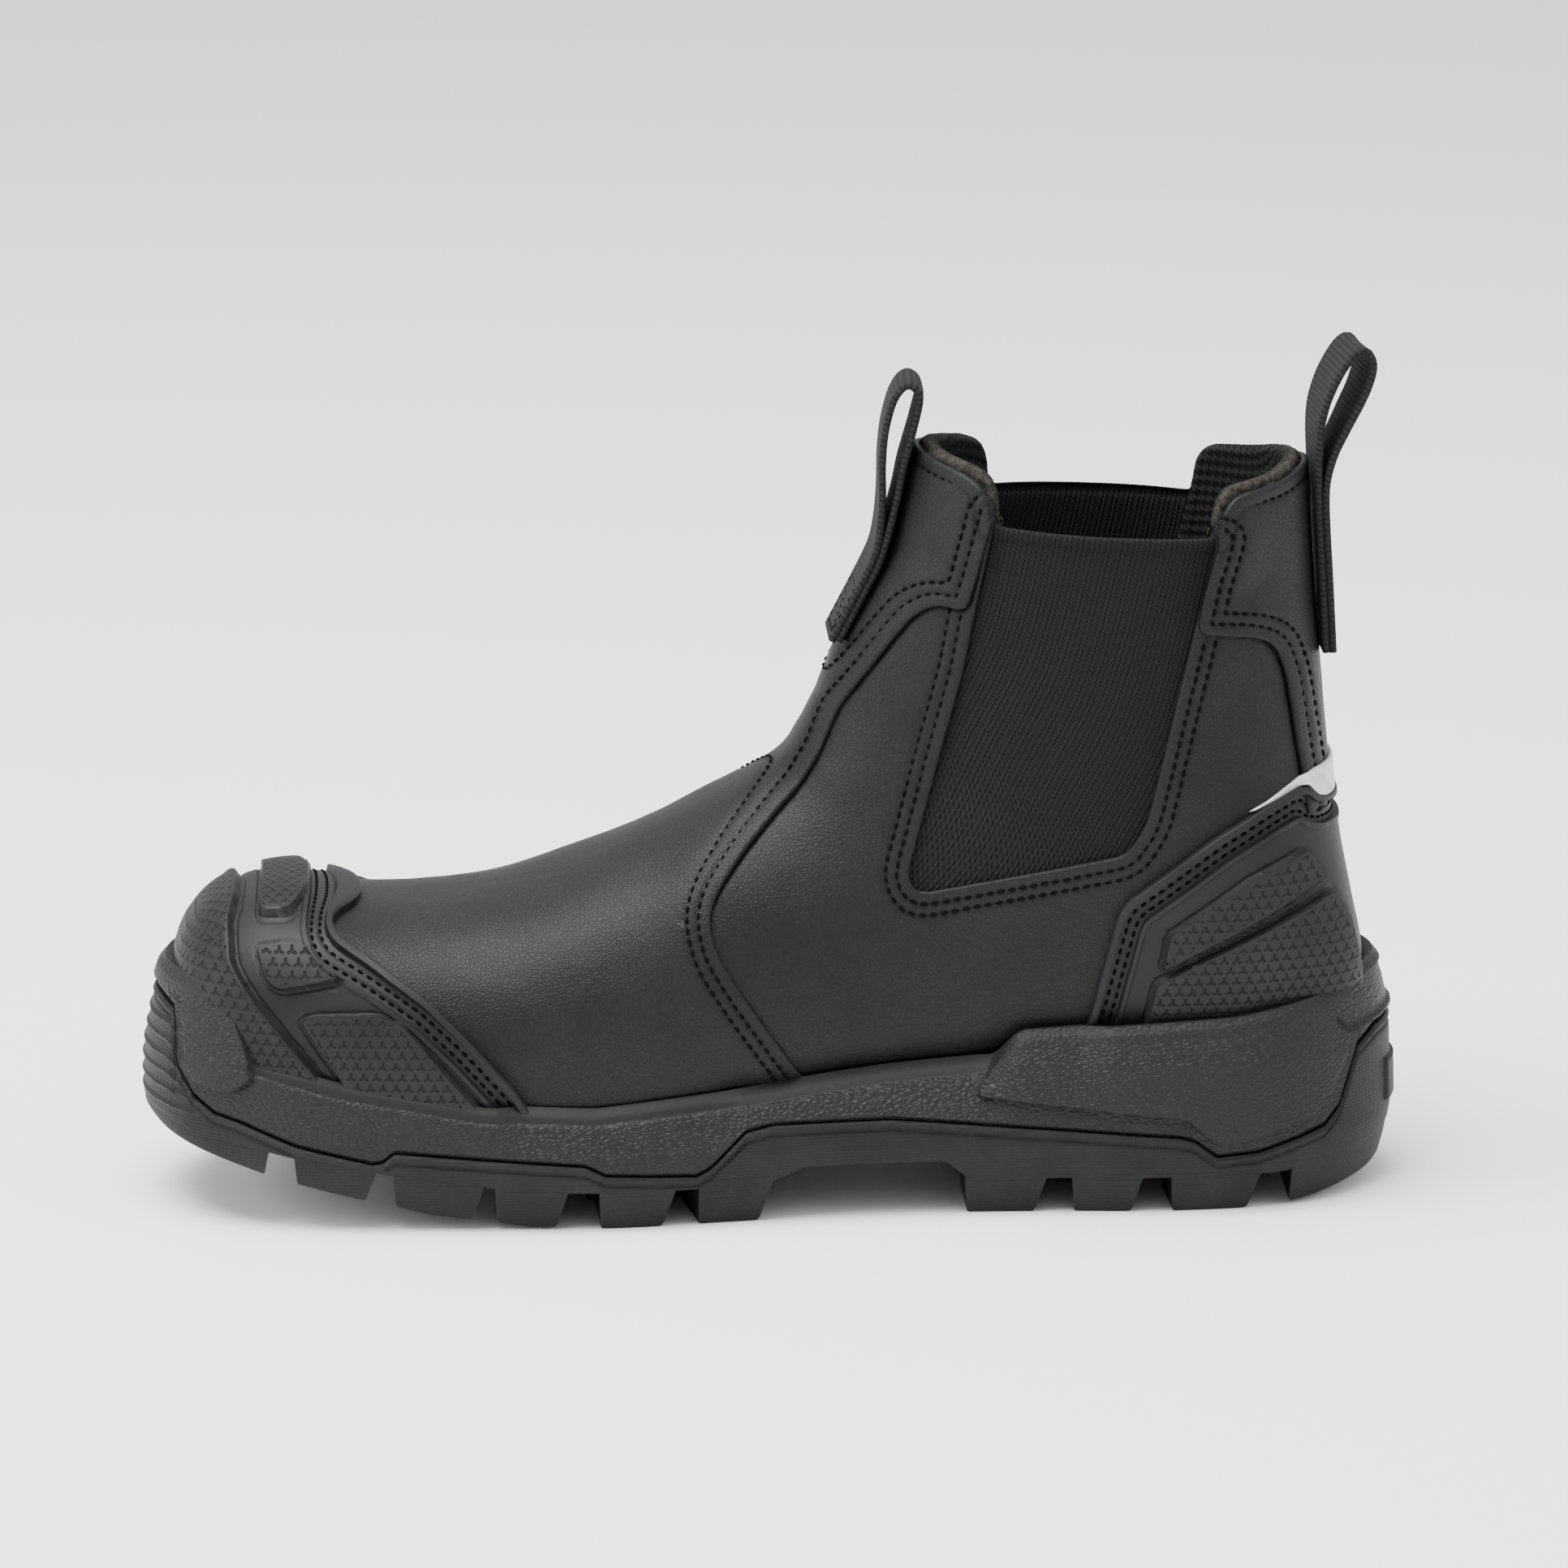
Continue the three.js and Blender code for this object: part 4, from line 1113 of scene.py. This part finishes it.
class GuardOperator(bpy.types.Operator):
    """Moulded toe and heel guards with raised grip pads"""
    bl_idname = "boot.make_guards"
    bl_label = "Make toe and heel guards"

    def execute(self, context):
        sizes = context.scene.boot_sizes
        threads = []
        jobs = (
            ("toe", TOE_GUARD, TOE_PAD_BORDERS, (0.03, 9)),
            ("heel", HEEL_GUARD, HEEL_PAD_BORDERS, (8, 17.5)),
        )
        for name, border, pads, reach in jobs:
            patch = Patch(reach, sizes.fineness * 0.7).keep(border).keep(above_sole(5))

            def raised(part):
                return np.minimum(np.max([pad(part) for pad in pads], axis=0), border(part) - 6.6)

            crease(patch, border, (0.15, 0.35, 0.6, 1.6, 1.9, 6.1, 6.4, 7.4, 7.7), 0)
            crease(patch, border, GUARD_ROWS, 0.6)
            crease(patch, raised, (-1.0, -0.7, -0.3, 0.001, 0.5), 0)

            def top(part):
                if name == "toe":
                    extra = bump_at(pads[0](part), 1.1, 0.7) * 0.5
                else:
                    behind = smoothstep(0.3, 0.95, part.data[:, 3])
                    extra = 3.6 * behind * (1 - smoothstep(50, 92, part.data[:, 2]))
                return guard_profile(border(part), raised(part), sizes) + extra

            made = sheet_mesh(f"{name}_guard_rubber", patch, top, lambda p: np.full(len(p.data), -0.3),
                              finish_of("guard"), lambda p: smoothstep(0.2, 1.2, raised(p)))
            made.data.set_sharp_from_angle(angle=0.75)
            settle(made, "guard_rubber", f"{name}_guard")
            threads += stitch_lines(patch, border, GUARD_ROWS, 0.78, above_sole(0.5))
        sewn = thread_mesh("guard_stitching", threads, finish_of("thread"), sizes.stitch_pitch)
        settle(sewn, "guard_rubber")
        return {"FINISHED"}


class TapeOperator(bpy.types.Operator):
    """Reflective band round the heel"""
    bl_idname = "boot.make_tape"
    bl_label = "Make reflective tape"

    def execute(self, context):
        patch = Patch((12, LAST_END), 1.6).keep(TAPE)
        crease(patch, TAPE, (0.15, 0.4), 0)
        crease(patch, BACKSTAY, (-1.5, -0.75, 0, 0.5), 0)

        def under(part):
            edge = BACKSTAY(part)
            return 1.35 * smoothstep(-1.5, 0.5, edge) * (1 - smoothstep(5, 17, edge))

        made = sheet_mesh("heel_tape_reflective", patch, lambda p: under(p) + 0.85 - edge_fall(TAPE(p), 0.35),
                          lambda p: under(p) - 0.2, finish_of("tape"))
        settle(made, "reflective_tape", "reflective_heel_tape")
        return {"FINISHED"}


# ---- pull loops ----
def smooth_line(points, count):
    """A Catmull-Rom line through points, at even steps of its length."""
    points = np.asarray(points, float)
    padded = np.vstack([2 * points[0] - points[1], points, 2 * points[-1] - points[-2]])
    line = []
    for i in range(len(points) - 1):
        for u in np.linspace(0, 1, 12, endpoint=i == len(points) - 2):
            line.append(spline(*padded[i:i + 4], u))
    return at_places(np.array(line), lambda length: np.linspace(0, length, count))


def shaft_x(height, column):
    """x of the leather on the boot's middle line: column 0 in front, 2 behind."""
    t = np.linspace(12, LAST_END, 400)
    line = stations_at(t)
    return np.interp(height, line[:, column + 1], line[:, column])


OUTER_PLY = 0.3 + LOOP_THICK * 1.48
INNER_PLY = 0.3 + LOOP_THICK * 0.52
# Each loop's foot starts and its fold lies at a height. Its plies are points, as distance out from the ply's
# place on the leather, and height.
LOOPS = {
    "front": {
        "column": 0, "out": -1, "foot": 137, "fold": 153, "twist": -0.3,
        "outer": [(0, 137.4), (0, 150), (0, 158), (0.4, 164), (1.7, 172), (3.8, 182), (4.5, 190),
                  (3.5, 197.4), (0.6, 200.6)],
        "inner": [(-0.6, 197.8), (-0.4, 190), (0.2, 180), (0, 172), (0, 158), (0, 150), (0, 137.4)],
    },
    "rear": {
        "column": 2, "out": 1, "foot": 133, "fold": 160, "twist": 1.0,
        "outer": [(0, 133.4), (0, 150), (0, 168), (0.5, 176), (2.6, 183), (6.2, 190), (10.2, 198),
                  (11.8, 204.5), (9.9, 208.4), (6.8, 207.4)],
        "inner": [(4.4, 201), (1.6, 193), (0.4, 184), (0, 168), (0, 150), (0, 133.4)],
    },
}


class LoopOperator(bpy.types.Operator):
    """Front and rear pull loops of ribbed webbing, sewn down at their feet"""
    bl_idname = "boot.make_loops"
    bl_label = "Make pull loops"

    def execute(self, context):
        threads = []
        for name, loop in LOOPS.items():
            path = [(OUTER_PLY + out, z) for out, z in loop["outer"]]
            path += [(INNER_PLY + out, z) for out, z in loop["inner"]]
            points = [(shaft_x(z, loop["column"]) + loop["out"] * out, z) for out, z in path]
            line, lengths = smooth_line(points, 150)
            tangent = np.gradient(line, axis=0)
            tangent /= np.linalg.norm(tangent, axis=1, keepdims=True)
            normal = np.column_stack([-tangent[:, 1], tangent[:, 0]])
            section = self.section()
            rise = smoothstep(loop["fold"] + 6, line[:, 1].max(), line[:, 1])
            turn = context.scene.boot_sizes.twist * loop["twist"] * rise
            middle = line[np.argmax(line[:, 1]), 0]
            rings = []
            for k, (at, n, angle) in enumerate(zip(line, normal, turn)):
                ring = []
                for across, thick in section:
                    cup = 0.35 * rise[k] * (1 - (across / 10) ** 2)
                    x = at[0] + n[0] * (thick + cup)
                    z = at[1] + n[1] * (thick + cup) + 0.05 * across * turn[k] * 2
                    y = across * (1 + 0.006 * math.sin(k * 0.9))
                    dx = x - middle
                    ring.append((middle + dx * math.cos(angle) - y * math.sin(angle),
                                 dx * math.sin(angle) + y * math.cos(angle), z))
                rings.append(ring)
            rings = np.array(rings)
            count = len(section)
            faces = ring_faces(len(rings), count)
            faces += [list(range(count))[::-1], [(len(rings) - 1) * count + j for j in range(count)]]
            uv = np.array([[(length, across + 20) for across, _ in section] for length in lengths])
            made = new_object(f"{name}_pull_loop_webbing", rings.reshape(-1, 3), faces, finish_of("webbing"),
                              uv.reshape(-1, 2))
            face_outwards(made)
            settle(made, "webbing", f"{name}_pull_loop", f"{name}_loop_foot", body=None)
            at = (Vector((shaft_x(loop["fold"], loop["column"]), 0, loop["fold"])) + SHIFT) * MM
            reach = Vector((0, 0, 4 * MM))
            tuple(at - reach)
            tuple(at + reach)
            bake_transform(made)
            threads += self.box_stitches(loop)
        settle(thread_mesh("loop_stitching", threads, finish_of("thread"), 2.4, 1.7), "webbing")
        return {"FINISHED"}

    @staticmethod
    def section():
        """The webbing's cross section: thick in the middle, with thin rolled selvedges."""
        half, thick = LOOP_WIDTH / 2, LOOP_THICK / 2
        top = [(-half, 0), (-half + 0.25, thick * 0.7), (-half + 0.8, thick), (-half + 2, thick * 0.86)]
        top += [(y, thick * 0.94) for y in np.linspace(-half + 3, half - 3, 7)]
        top += [(half - 2, thick * 0.86), (half - 0.8, thick), (half - 0.25, thick * 0.7), (half, 0)]
        return top + [(y, -z) for y, z in top[-2:0:-1]]

    @staticmethod
    def box_stitches(loop):
        """A sewn box with a cross in it on the outer ply of a loop's foot."""
        low, high = loop["foot"] + 2.5, loop["fold"] - 2.5
        corners = [(-7.6, low), (7.6, low), (7.6, high), (-7.6, high), (-7.6, low), (7.6, high)]
        out = OUTER_PLY + LOOP_THICK / 2
        rows = []
        for (y0, z0), (y1, z1) in zip(corners, corners[1:]):
            share = np.linspace(0, 1, 12)[:, None]
            y, z = y0 + (y1 - y0) * share, z0 + (z1 - z0) * share
            x = shaft_x(z[:, 0], loop["column"])[:, None] + loop["out"] * out
            normal = np.tile([loop["out"], 0, 0.2], (12, 1))
            rows.append((np.hstack([x, y, z, normal, z, y]), -0.12))
        return rows


# ---- the sole ----
def sole_outline(count):
    """The sole's outline as two halves of equal count, from the toe along the inner side, and the way in."""
    points = np.array(PLAN, float)
    line = []
    for i in range(len(points)):
        corners = [points[(i + k) % len(points)] for k in (-1, 0, 1, 2)]
        line += [spline(*corners, u) for u in np.linspace(0, 1, 40, endpoint=False)]
    line = np.array(line)
    line = np.roll(line, -int(np.argmin(line[:, 0])), axis=0)
    heel = int(np.argmax(line[:, 0]))
    half = count // 2
    sides = []
    for part in (line[:heel + 1], np.vstack([line[heel:], line[:1]])):
        sides.append(at_places(part, lambda length: np.linspace(0, length, half, endpoint=False))[0])
    ring = np.vstack(sides)
    tangent = np.roll(ring, -1, 0) - np.roll(ring, 1, 0)
    tangent /= np.linalg.norm(tangent, axis=1, keepdims=True)
    return ring, np.column_stack([-tangent[:, 1], tangent[:, 0]])


def soften_ring(values, width):
    kernel = np.hanning(2 * width + 3)[1:-1]
    kernel /= kernel.sum()
    return np.convolve(np.concatenate([values[-width:], values, values[:width]]), kernel, "valid")


def reach_to_skin(ring, height):
    """How far in from the outline the leather stands, at a height given for each x."""
    t = np.linspace(0.03, 17.5, 900)
    angles = np.concatenate([np.linspace(0.3, math.pi, 260), -np.linspace(0.3, math.pi, 260)])
    skin = ribs(t, np.broadcast_to(angles, (len(t), len(angles)))).reshape(-1, 3)
    level = skin[np.abs(skin[:, 2] - height(skin[:, 0])) < 0.9][:, :2]
    gaps = np.array([np.sqrt(((level - point) ** 2).sum(1).min()) for point in ring])
    return soften_ring(gaps, max(2, len(ring) // 110))


def wall_inset(z):
    return np.interp(z, [-8, 2, 9, 18, 38, 50, 64], [5, 4, 1.6, 0, 0.6, 3, 7])


def ring_faces(rings, columns, closed=False):
    faces = []
    for r in range(rings if closed else rings - 1):
        a = r * columns + np.arange(columns)
        b = r * columns + (np.arange(columns) + 1) % columns
        up = ((r + 1) % rings - r) * columns
        faces += np.column_stack([a, b, b + up, a + up]).tolist()
    return faces


def span(points, faces, start, columns, steps, lift=lambda share, x: 0):
    """Closes a ring straight across from side to side, lifted by share across and x."""
    ring = points[start:start + columns]
    half = columns // 2
    rows = {}
    for j in range(1, half):
        near, far = ring[j], ring[columns - j]
        inner = [near + (far - near) * share + np.array([0, 0, lift(share, near[0])])
                 for share in np.linspace(0, 1, steps + 1)[1:-1]]
        first = len(points)
        points = np.vstack([points, inner])
        rows[j] = [start + j, *range(first, first + len(inner)), start + columns - j]
    for j in range(1, half - 1):
        a, b = rows[j], rows[j + 1]
        faces += [[a[k], b[k], b[k + 1], a[k + 1]] for k in range(steps)]
    for tip, row in ((start, rows[1]), (start + half, rows[half - 1])):
        faces += [[tip, row[k], row[k + 1]] for k in range(steps)]
    return points, faces


def sole_object(name, points, faces, finish, marks=None, sharp=0.6):
    made = new_object(name, points, faces, finish, marks=marks)
    face_outwards(made)
    made.data.set_sharp_from_angle(angle=sharp)
    return made


class MidsoleOperator(bpy.types.Operator):
    """Moulded midsole with its rim, proud toe and heel blocks, and pebbled wall"""
    bl_idname = "boot.make_midsole"
    bl_label = "Make midsole"

    def execute(self, context):
        columns = context.scene.boot_sizes.columns
        ring, inward = sole_outline(columns)
        x = ring[:, 0]
        low, high = height_on(OUTSOLE_TOP, x) + 0.25, soften_ring(height_on(MIDSOLE_RIM, x), 3)
        gap = reach_to_skin(ring, lambda x: height_on(MIDSOLE_RIM, x))
        guard = 3.7 * np.maximum(1 - smoothstep(-70, -60, x), smoothstep(74, 84, x))
        guard += 3.2 * smoothstep(0.3, 0.95, -inward[:, 0]) * smoothstep(84, 100, x)
        lip = np.maximum(wall_inset(high) + 0.4, gap - guard - 2.4)
        lean = np.maximum(lip - wall_inset(high), 0)
        heel = Border(HEEL_BLOCK, soften=1.5)
        toe = Border(TOE_BLOCK, soften=1.5)
        scoop = Border(HEEL_SCOOP, soften=1)
        rows, marks = [], []
        for share in np.concatenate([[0, 0.012, 0.03], np.linspace(0.05, 0.95, 56), [0.97, 0.985, 1]]):
            z = low + (high - low) * share
            flat = np.column_stack([x, z])
            block = np.maximum(smoothstep(-0.3, 0.4, heel.at(flat)), smoothstep(-0.3, 0.4, toe.at(flat)))
            inset = wall_inset(z) + lean * share ** 1.5 + 0.9 * (1 - smoothstep(0, 1.0, z - low))
            inset -= 1.5 * block * smoothstep(0.3, 1.2, z - low)
            inset += 0.9 * smoothstep(-0.3, 0.4, scoop.at(flat)) * smoothstep(2, 3, high - z)
            rim = high - z
            inset += 0.7 * (1 - smoothstep(3.6, 4.4, rim)) * (1 - block)
            inset += 1.1 * (1 - smoothstep(0, 3.2, rim)) ** 2
            rows.append(np.column_stack([ring + inward * inset[:, None], z]))
            marks.append((1 - smoothstep(3.4, 4.2, rim)) * (1 - 0.5 * block))
        seat = np.maximum(lip + 1.4, gap - guard + 0.5)
        for inset, z in ((seat, high - 0.5), (gap + 2.6, high - 5), (gap + 2.6, low + 1)):
            rows.append(np.column_stack([ring + inward * inset[:, None], z]))
            marks.append(np.ones(columns))
        made = sole_object("midsole_wall", np.vstack(rows), ring_faces(len(rows), columns, closed=True),
                           finish_of("midsole"), np.concatenate(marks))
        settle(made, "midsole_foam", "midsole")
        return {"FINISHED"}


class OutsoleOperator(bpy.types.Operator):
    """Rubber outsole: a body with a ribbed toe bumper, edge lugs, middle lugs and arch ribs"""
    bl_idname = "boot.make_outsole"
    bl_label = "Make outsole"

    def execute(self, context):
        columns = context.scene.boot_sizes.columns
        ring, inward = sole_outline(columns)
        x = ring[:, 0]
        low, high = height_on(SOLE_BODY, x), height_on(OUTSOLE_TOP, x)
        rings = [np.column_stack([ring + inward * 14, low])]
        toe = 1 - smoothstep(-141, -137, x)
        heel = smoothstep(151.5, 152.5, x)
        for share in np.concatenate([[0], np.linspace(0.02, 0.98, 60), [1]]):
            z = low + (high - low) * share
            inset = wall_inset(z) + 0.7 * (1 - smoothstep(0, 1.0, z - low)) ** 2
            inset -= 0.55 * toe * sum(bump_at(z, 27.5 + 3.9 * k, 0.42) for k in range(6))
            plate = heel * smoothstep(20.3, 20.9, z) * (1 - smoothstep(30.6, 31.2, z))
            inset -= 1.0 * plate * (1 - smoothstep(12, 12.8, np.abs(ring[:, 1])))
            inset -= 0.5 * bump_at(high - z, 0.9, 0.6)
            inset += 0.4 * bump_at(high - z, 2.3, 0.5)
            rings.append(np.column_stack([ring + inward * np.maximum(inset, -0.9)[:, None], z]))
        rings.append(np.column_stack([ring + inward * 9, high - 0.4]))
        points, faces = np.vstack(rings), ring_faces(len(rings), columns)
        points, faces = span(points, faces, 0, columns, 8)
        points, faces = span(points, faces, (len(rings) - 1) * columns, columns, 6)
        parts = [(points, faces)]
        for side in (0, 1):
            parts += [self.lug(self.edge_ring(ring, inward, side, *ends)) for ends in EDGE_LUGS]
        parts += [self.lug(self.end_ring(ring, inward, *ends)) for ends in END_LUGS]
        parts += [self.lug(self.middle_ring(ring, inward, at)) for at in CENTRE_LUGS]
        parts += [self.rib(at) for at in ARCH_RIBS]
        points, faces = [], []
        for more, sides in parts:
            base = sum(len(some) for some in points)
            points.append(more)
            faces += [[base + i for i in side] for side in sides]
        made = sole_object("outsole_tread", np.vstack(points), faces, finish_of("outsole"))
        settle(made, "outsole_rubber", "outsole")
        return {"FINISHED"}

    @staticmethod
    def along_side(ring, inward, side, x, inset):
        """Points at these x on one side of the outline, moved in by inset."""
        steps = np.arange(len(ring) // 2 + 1)
        order = steps if side == 0 else -steps % len(ring)
        place = np.interp(x, np.maximum.accumulate(ring[order, 0] + steps * 1e-6), steps)
        point = np.column_stack([np.interp(place, steps, ring[order, k]) for k in (0, 1)])
        way = np.column_stack([np.interp(place, steps, inward[order, k]) for k in (0, 1)])
        return point + way * np.asarray(inset, float).reshape(-1, 1)

    def edge_ring(self, ring, inward, side, first, last):
        def at(depth, shrink):
            x = np.linspace(first - 0.5 * depth + shrink, last + 3.2 * depth - shrink, 16)
            z = self.level(x, depth)
            outer = self.along_side(ring, inward, side, x, wall_inset(z) + 0.25 + shrink)
            x = x[::-3]
            inner = self.along_side(ring, inward, side, x, np.full(len(x), 24 + 1.2 * depth - shrink))
            return np.vstack([outer, inner])
        return at

    def middle_ring(self, ring, inward, middle):
        def at(depth, shrink):
            x = np.linspace(middle - 7.5 - 0.8 * depth + shrink, middle + 7.5 + 1.6 * depth - shrink, 6)
            inset = np.full(len(x), 29 - depth + shrink)
            sides = [self.along_side(ring, inward, side, x, inset) for side in (0, 1)]
            return np.vstack([sides[0], sides[1][::-1]])
        return at

    def end_ring(self, ring, inward, first, last):
        front = first < 0

        def at(depth, shrink):
            end = last + 1.6 * depth - shrink if front else first - 0.6 * depth + shrink
            tip = ring[:, 0].min() if front else ring[:, 0].max()
            share = np.linspace(0, 1, 26) ** 2
            x = tip + (end - tip) * share
            inset = wall_inset(self.level(x, depth)) + 0.25 + shrink
            sides = [self.along_side(ring, inward, side, x, inset) for side in (0, 1)]
            return np.vstack([sides[0][::-1], sides[1][1:]])
        return at

    @staticmethod
    def level(x, depth):
        low, high = height_on(TREAD, x), height_on(SOLE_BODY, x) + 1.2
        return low + (high - low) * depth

    def lug(self, ring_at):
        rings = []
        for depth, shrink in ((1, 0), (0.55, 0), (0.12, 0), (0.03, 0.25), (0, 0.8)):
            flat = ring_at(depth, shrink)
            rings.append(np.column_stack([flat, self.level(flat[:, 0], depth)]))
        count = len(rings[0])
        faces = ring_faces(len(rings), count)
        faces += [list(range(count)), list(range((len(rings) - 1) * count, len(rings) * count))]
        return np.vstack(rings), faces

    @staticmethod
    def rib(at):
        rings = []
        for z, grow in ((14.6, 0.4), (11.5, 0.2), (10.8, 0), (10.5, -0.5)):
            angle = np.linspace(0, 2 * np.pi, 28, endpoint=False)
            x = at + (1.6 + grow) * np.sign(np.cos(angle)) * np.abs(np.cos(angle)) ** 0.5
            y = 3 + (17 + grow) * np.sign(np.sin(angle)) * np.abs(np.sin(angle)) ** 0.4
            rings.append(np.column_stack([x, y, np.full(28, z)]))
        faces = ring_faces(4, 28) + [list(range(28)), list(range(84, 112))]
        return np.vstack(rings), faces


class FootbedOperator(bpy.types.Operator):
    """Removable footbed, dished and covered in cloth"""
    bl_idname = "boot.make_footbed"
    bl_label = "Make footbed"

    def execute(self, context):
        ring, inward = sole_outline(360)
        bottoms = [(row[2], row[3]) for row in STATIONS[1:14]]
        inset = reach_to_skin(ring, lambda x: height_on(bottoms, x) + FOOTBED_TOP) + 7.4
        rings = []
        section = [(4.75, 4.5), (4.6, 2.5), (3.6, 1.4), (1.4, 0.6), (0.5, 0.5), (0.1, 1.2), (0.05, 2.4)]
        for drop, more in section:
            flat = ring + inward * (inset + more)[:, None]
            rings.append(np.column_stack([flat, height_on(bottoms, flat[:, 0]) + FOOTBED_TOP - drop]))
        points, faces = np.vstack(rings), ring_faces(len(rings), 360)
        points, faces = span(points, faces, 0, 360, 6)

        def dish(share, at):
            return -(0.6 + 0.9 * smoothstep(40, 90, at)) * math.sin(math.pi * share) ** 0.7

        points, faces = span(points, faces, 6 * 360, 360, 14, dish)
        made = sole_object("footbed_cushion", points, faces, finish_of("footbed"), sharp=1.2)
        settle(made, "footbed_fabric", "footbed", body="footbed")
        return {"FINISHED"}


class InnerOperator(bpy.types.Operator):
    """Finishes for the steel, board and foam that the upper hides"""
    bl_idname = "boot.finish_inner_parts"
    bl_label = "Finish inner parts"

    def execute(self, context):
        steel = plain_finish("cap steel", (0.30, 0.30, 0.32), 0.45, 1.2, 0.05, metallic=0.8).material
        spring = plain_finish("spring steel", (0.50, 0.50, 0.52), 0.32, 0.8, 0.03, metallic=1.0).material
        board = plain_finish("fibre board", (0.16, 0.13, 0.095), 0.85, 1.4, 0.12).material
        foam = plain_finish("backing foam", (0.05, 0.05, 0.05), 0.92, 0.9, 0.2).material
        finishes = {
            "steel_toe_cap": steel, "steel_shank": spring, "insole_board": board, "bottom_filler": foam,
            "toe_cap_edge_strip": foam, "vamp_padding": foam, "heel_counter": board, "collar_padding": foam,
        }
        for node, finish in finishes.items():
            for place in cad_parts[node].material_slots:
                place.material = finish
        return {"FINISHED"}


class StageOperator(bpy.types.Operator):
    """Pale floor, soft studio lights and the camera"""
    bl_idname = "boot.set_stage"
    bl_label = "Set stage"

    def execute(self, context):
        floor = self.floor()
        world = bpy.data.worlds.new("studio")
        world.use_nodes = True
        background = next(node for node in world.node_tree.nodes if node.type == "BACKGROUND")
        background.inputs["Color"].default_value = (1, 1, 1, 1)
        background.inputs["Strength"].default_value = 1.0
        context.scene.world = world
        target = (Vector((4.4, 0, 99.4)) + SHIFT) * MM
        for name, place, size, power in (
            ("top softbox", (-0.35, -0.25, 1.7), 1.3, 85), ("toe softbox", (-1.6, -0.5, 0.8), 0.9, 16),
            ("heel softbox", (1.7, -0.5, 0.9), 0.8, 10),
        ):
            lamp = bpy.data.lights.new(name, "AREA")
            lamp.shape = "SQUARE"
            lamp.size = size
            lamp.energy = power
            light = bpy.data.objects.new(name, lamp)
            light.location = place
            light.rotation_euler = (target - Vector(place)).to_track_quat("-Z", "Y").to_euler()
            context.scene.collection.objects.link(light)
        elevation, azimuth = math.radians(14), math.radians(-2.5)
        back = Vector((math.sin(azimuth) * math.cos(elevation), -math.cos(azimuth) * math.cos(elevation),
                       math.sin(elevation)))
        lens = bpy.data.cameras.new("camera")
        lens.lens = 205.6
        lens.sensor_width = 36
        camera = bpy.data.objects.new("camera", lens)
        camera.location = target + back * 2.2
        camera.rotation_euler = (-back).to_track_quat("-Z", "Y").to_euler()
        context.scene.collection.objects.link(camera)
        context.scene.camera = camera
        return {"FINISHED"}

    @staticmethod
    def floor():
        half = 4.0
        corners = [(-half, -half, 0), (half, -half, 0), (half, half, 0), (-half, half, 0)]
        mesh = bpy.data.meshes.new("floor")
        mesh.from_pydata(corners, [], [(0, 1, 2, 3)])
        finish = Finish("studio floor", (0.86, 0.86, 0.86), 0.7)
        cloud = finish.noise(finish.place(), 900, 2)
        finish.set("Base Color", finish.mix(cloud, (0.93, 0.93, 0.93), (0.95, 0.95, 0.95)))
        mesh.materials.append(finish.material)
        thing = bpy.data.objects.new("floor", mesh)
        bpy.context.scene.collection.objects.link(thing)
        return thing


PIECES = (
    MidsoleOperator, OutsoleOperator, FootbedOperator, InnerOperator, LiningOperator, GoreOperator,
    UpperOperator, GuardOperator, TapeOperator, LoopOperator, StageOperator,
)


class BootPanel(bpy.types.Panel):
    """Sizes, colours and pieces of the work boot"""
    bl_idname = "VIEW3D_PT_work_boot"
    bl_label = "Work boot"
    bl_space_type = "VIEW_3D"
    bl_region_type = "UI"
    bl_category = "Work boot"

    def draw(self, context):
        for group in (context.scene.boot_sizes, context.scene.boot_colours):
            box = self.layout.box()
            for name in group.__annotations__:
                box.prop(group, name)
        for piece in PIECES:
            self.layout.operator(piece.bl_idname)


CLASSES = (BootColours, BootSizes, *PIECES, BootPanel)


def register():
    for each in CLASSES:
        bpy.utils.register_class(each)
    bpy.types.Scene.boot_colours = PointerProperty(type=BootColours)
    bpy.types.Scene.boot_sizes = PointerProperty(type=BootSizes)


def unregister():
    del bpy.types.Scene.boot_sizes
    del bpy.types.Scene.boot_colours
    for each in reversed(CLASSES):
        bpy.utils.unregister_class(each)


def main():
    register()
    bpy.ops.boot.make_midsole()
    bpy.ops.boot.make_outsole()
    bpy.ops.boot.make_footbed()
    bpy.ops.boot.finish_inner_parts()
    bpy.ops.boot.make_linings()
    bpy.ops.boot.make_gores()
    bpy.ops.boot.make_upper()
    bpy.ops.boot.make_guards()
    bpy.ops.boot.make_tape()
    bpy.ops.boot.make_loops()
    bpy.ops.boot.set_stage()


if __name__ == "__main__":
    main()
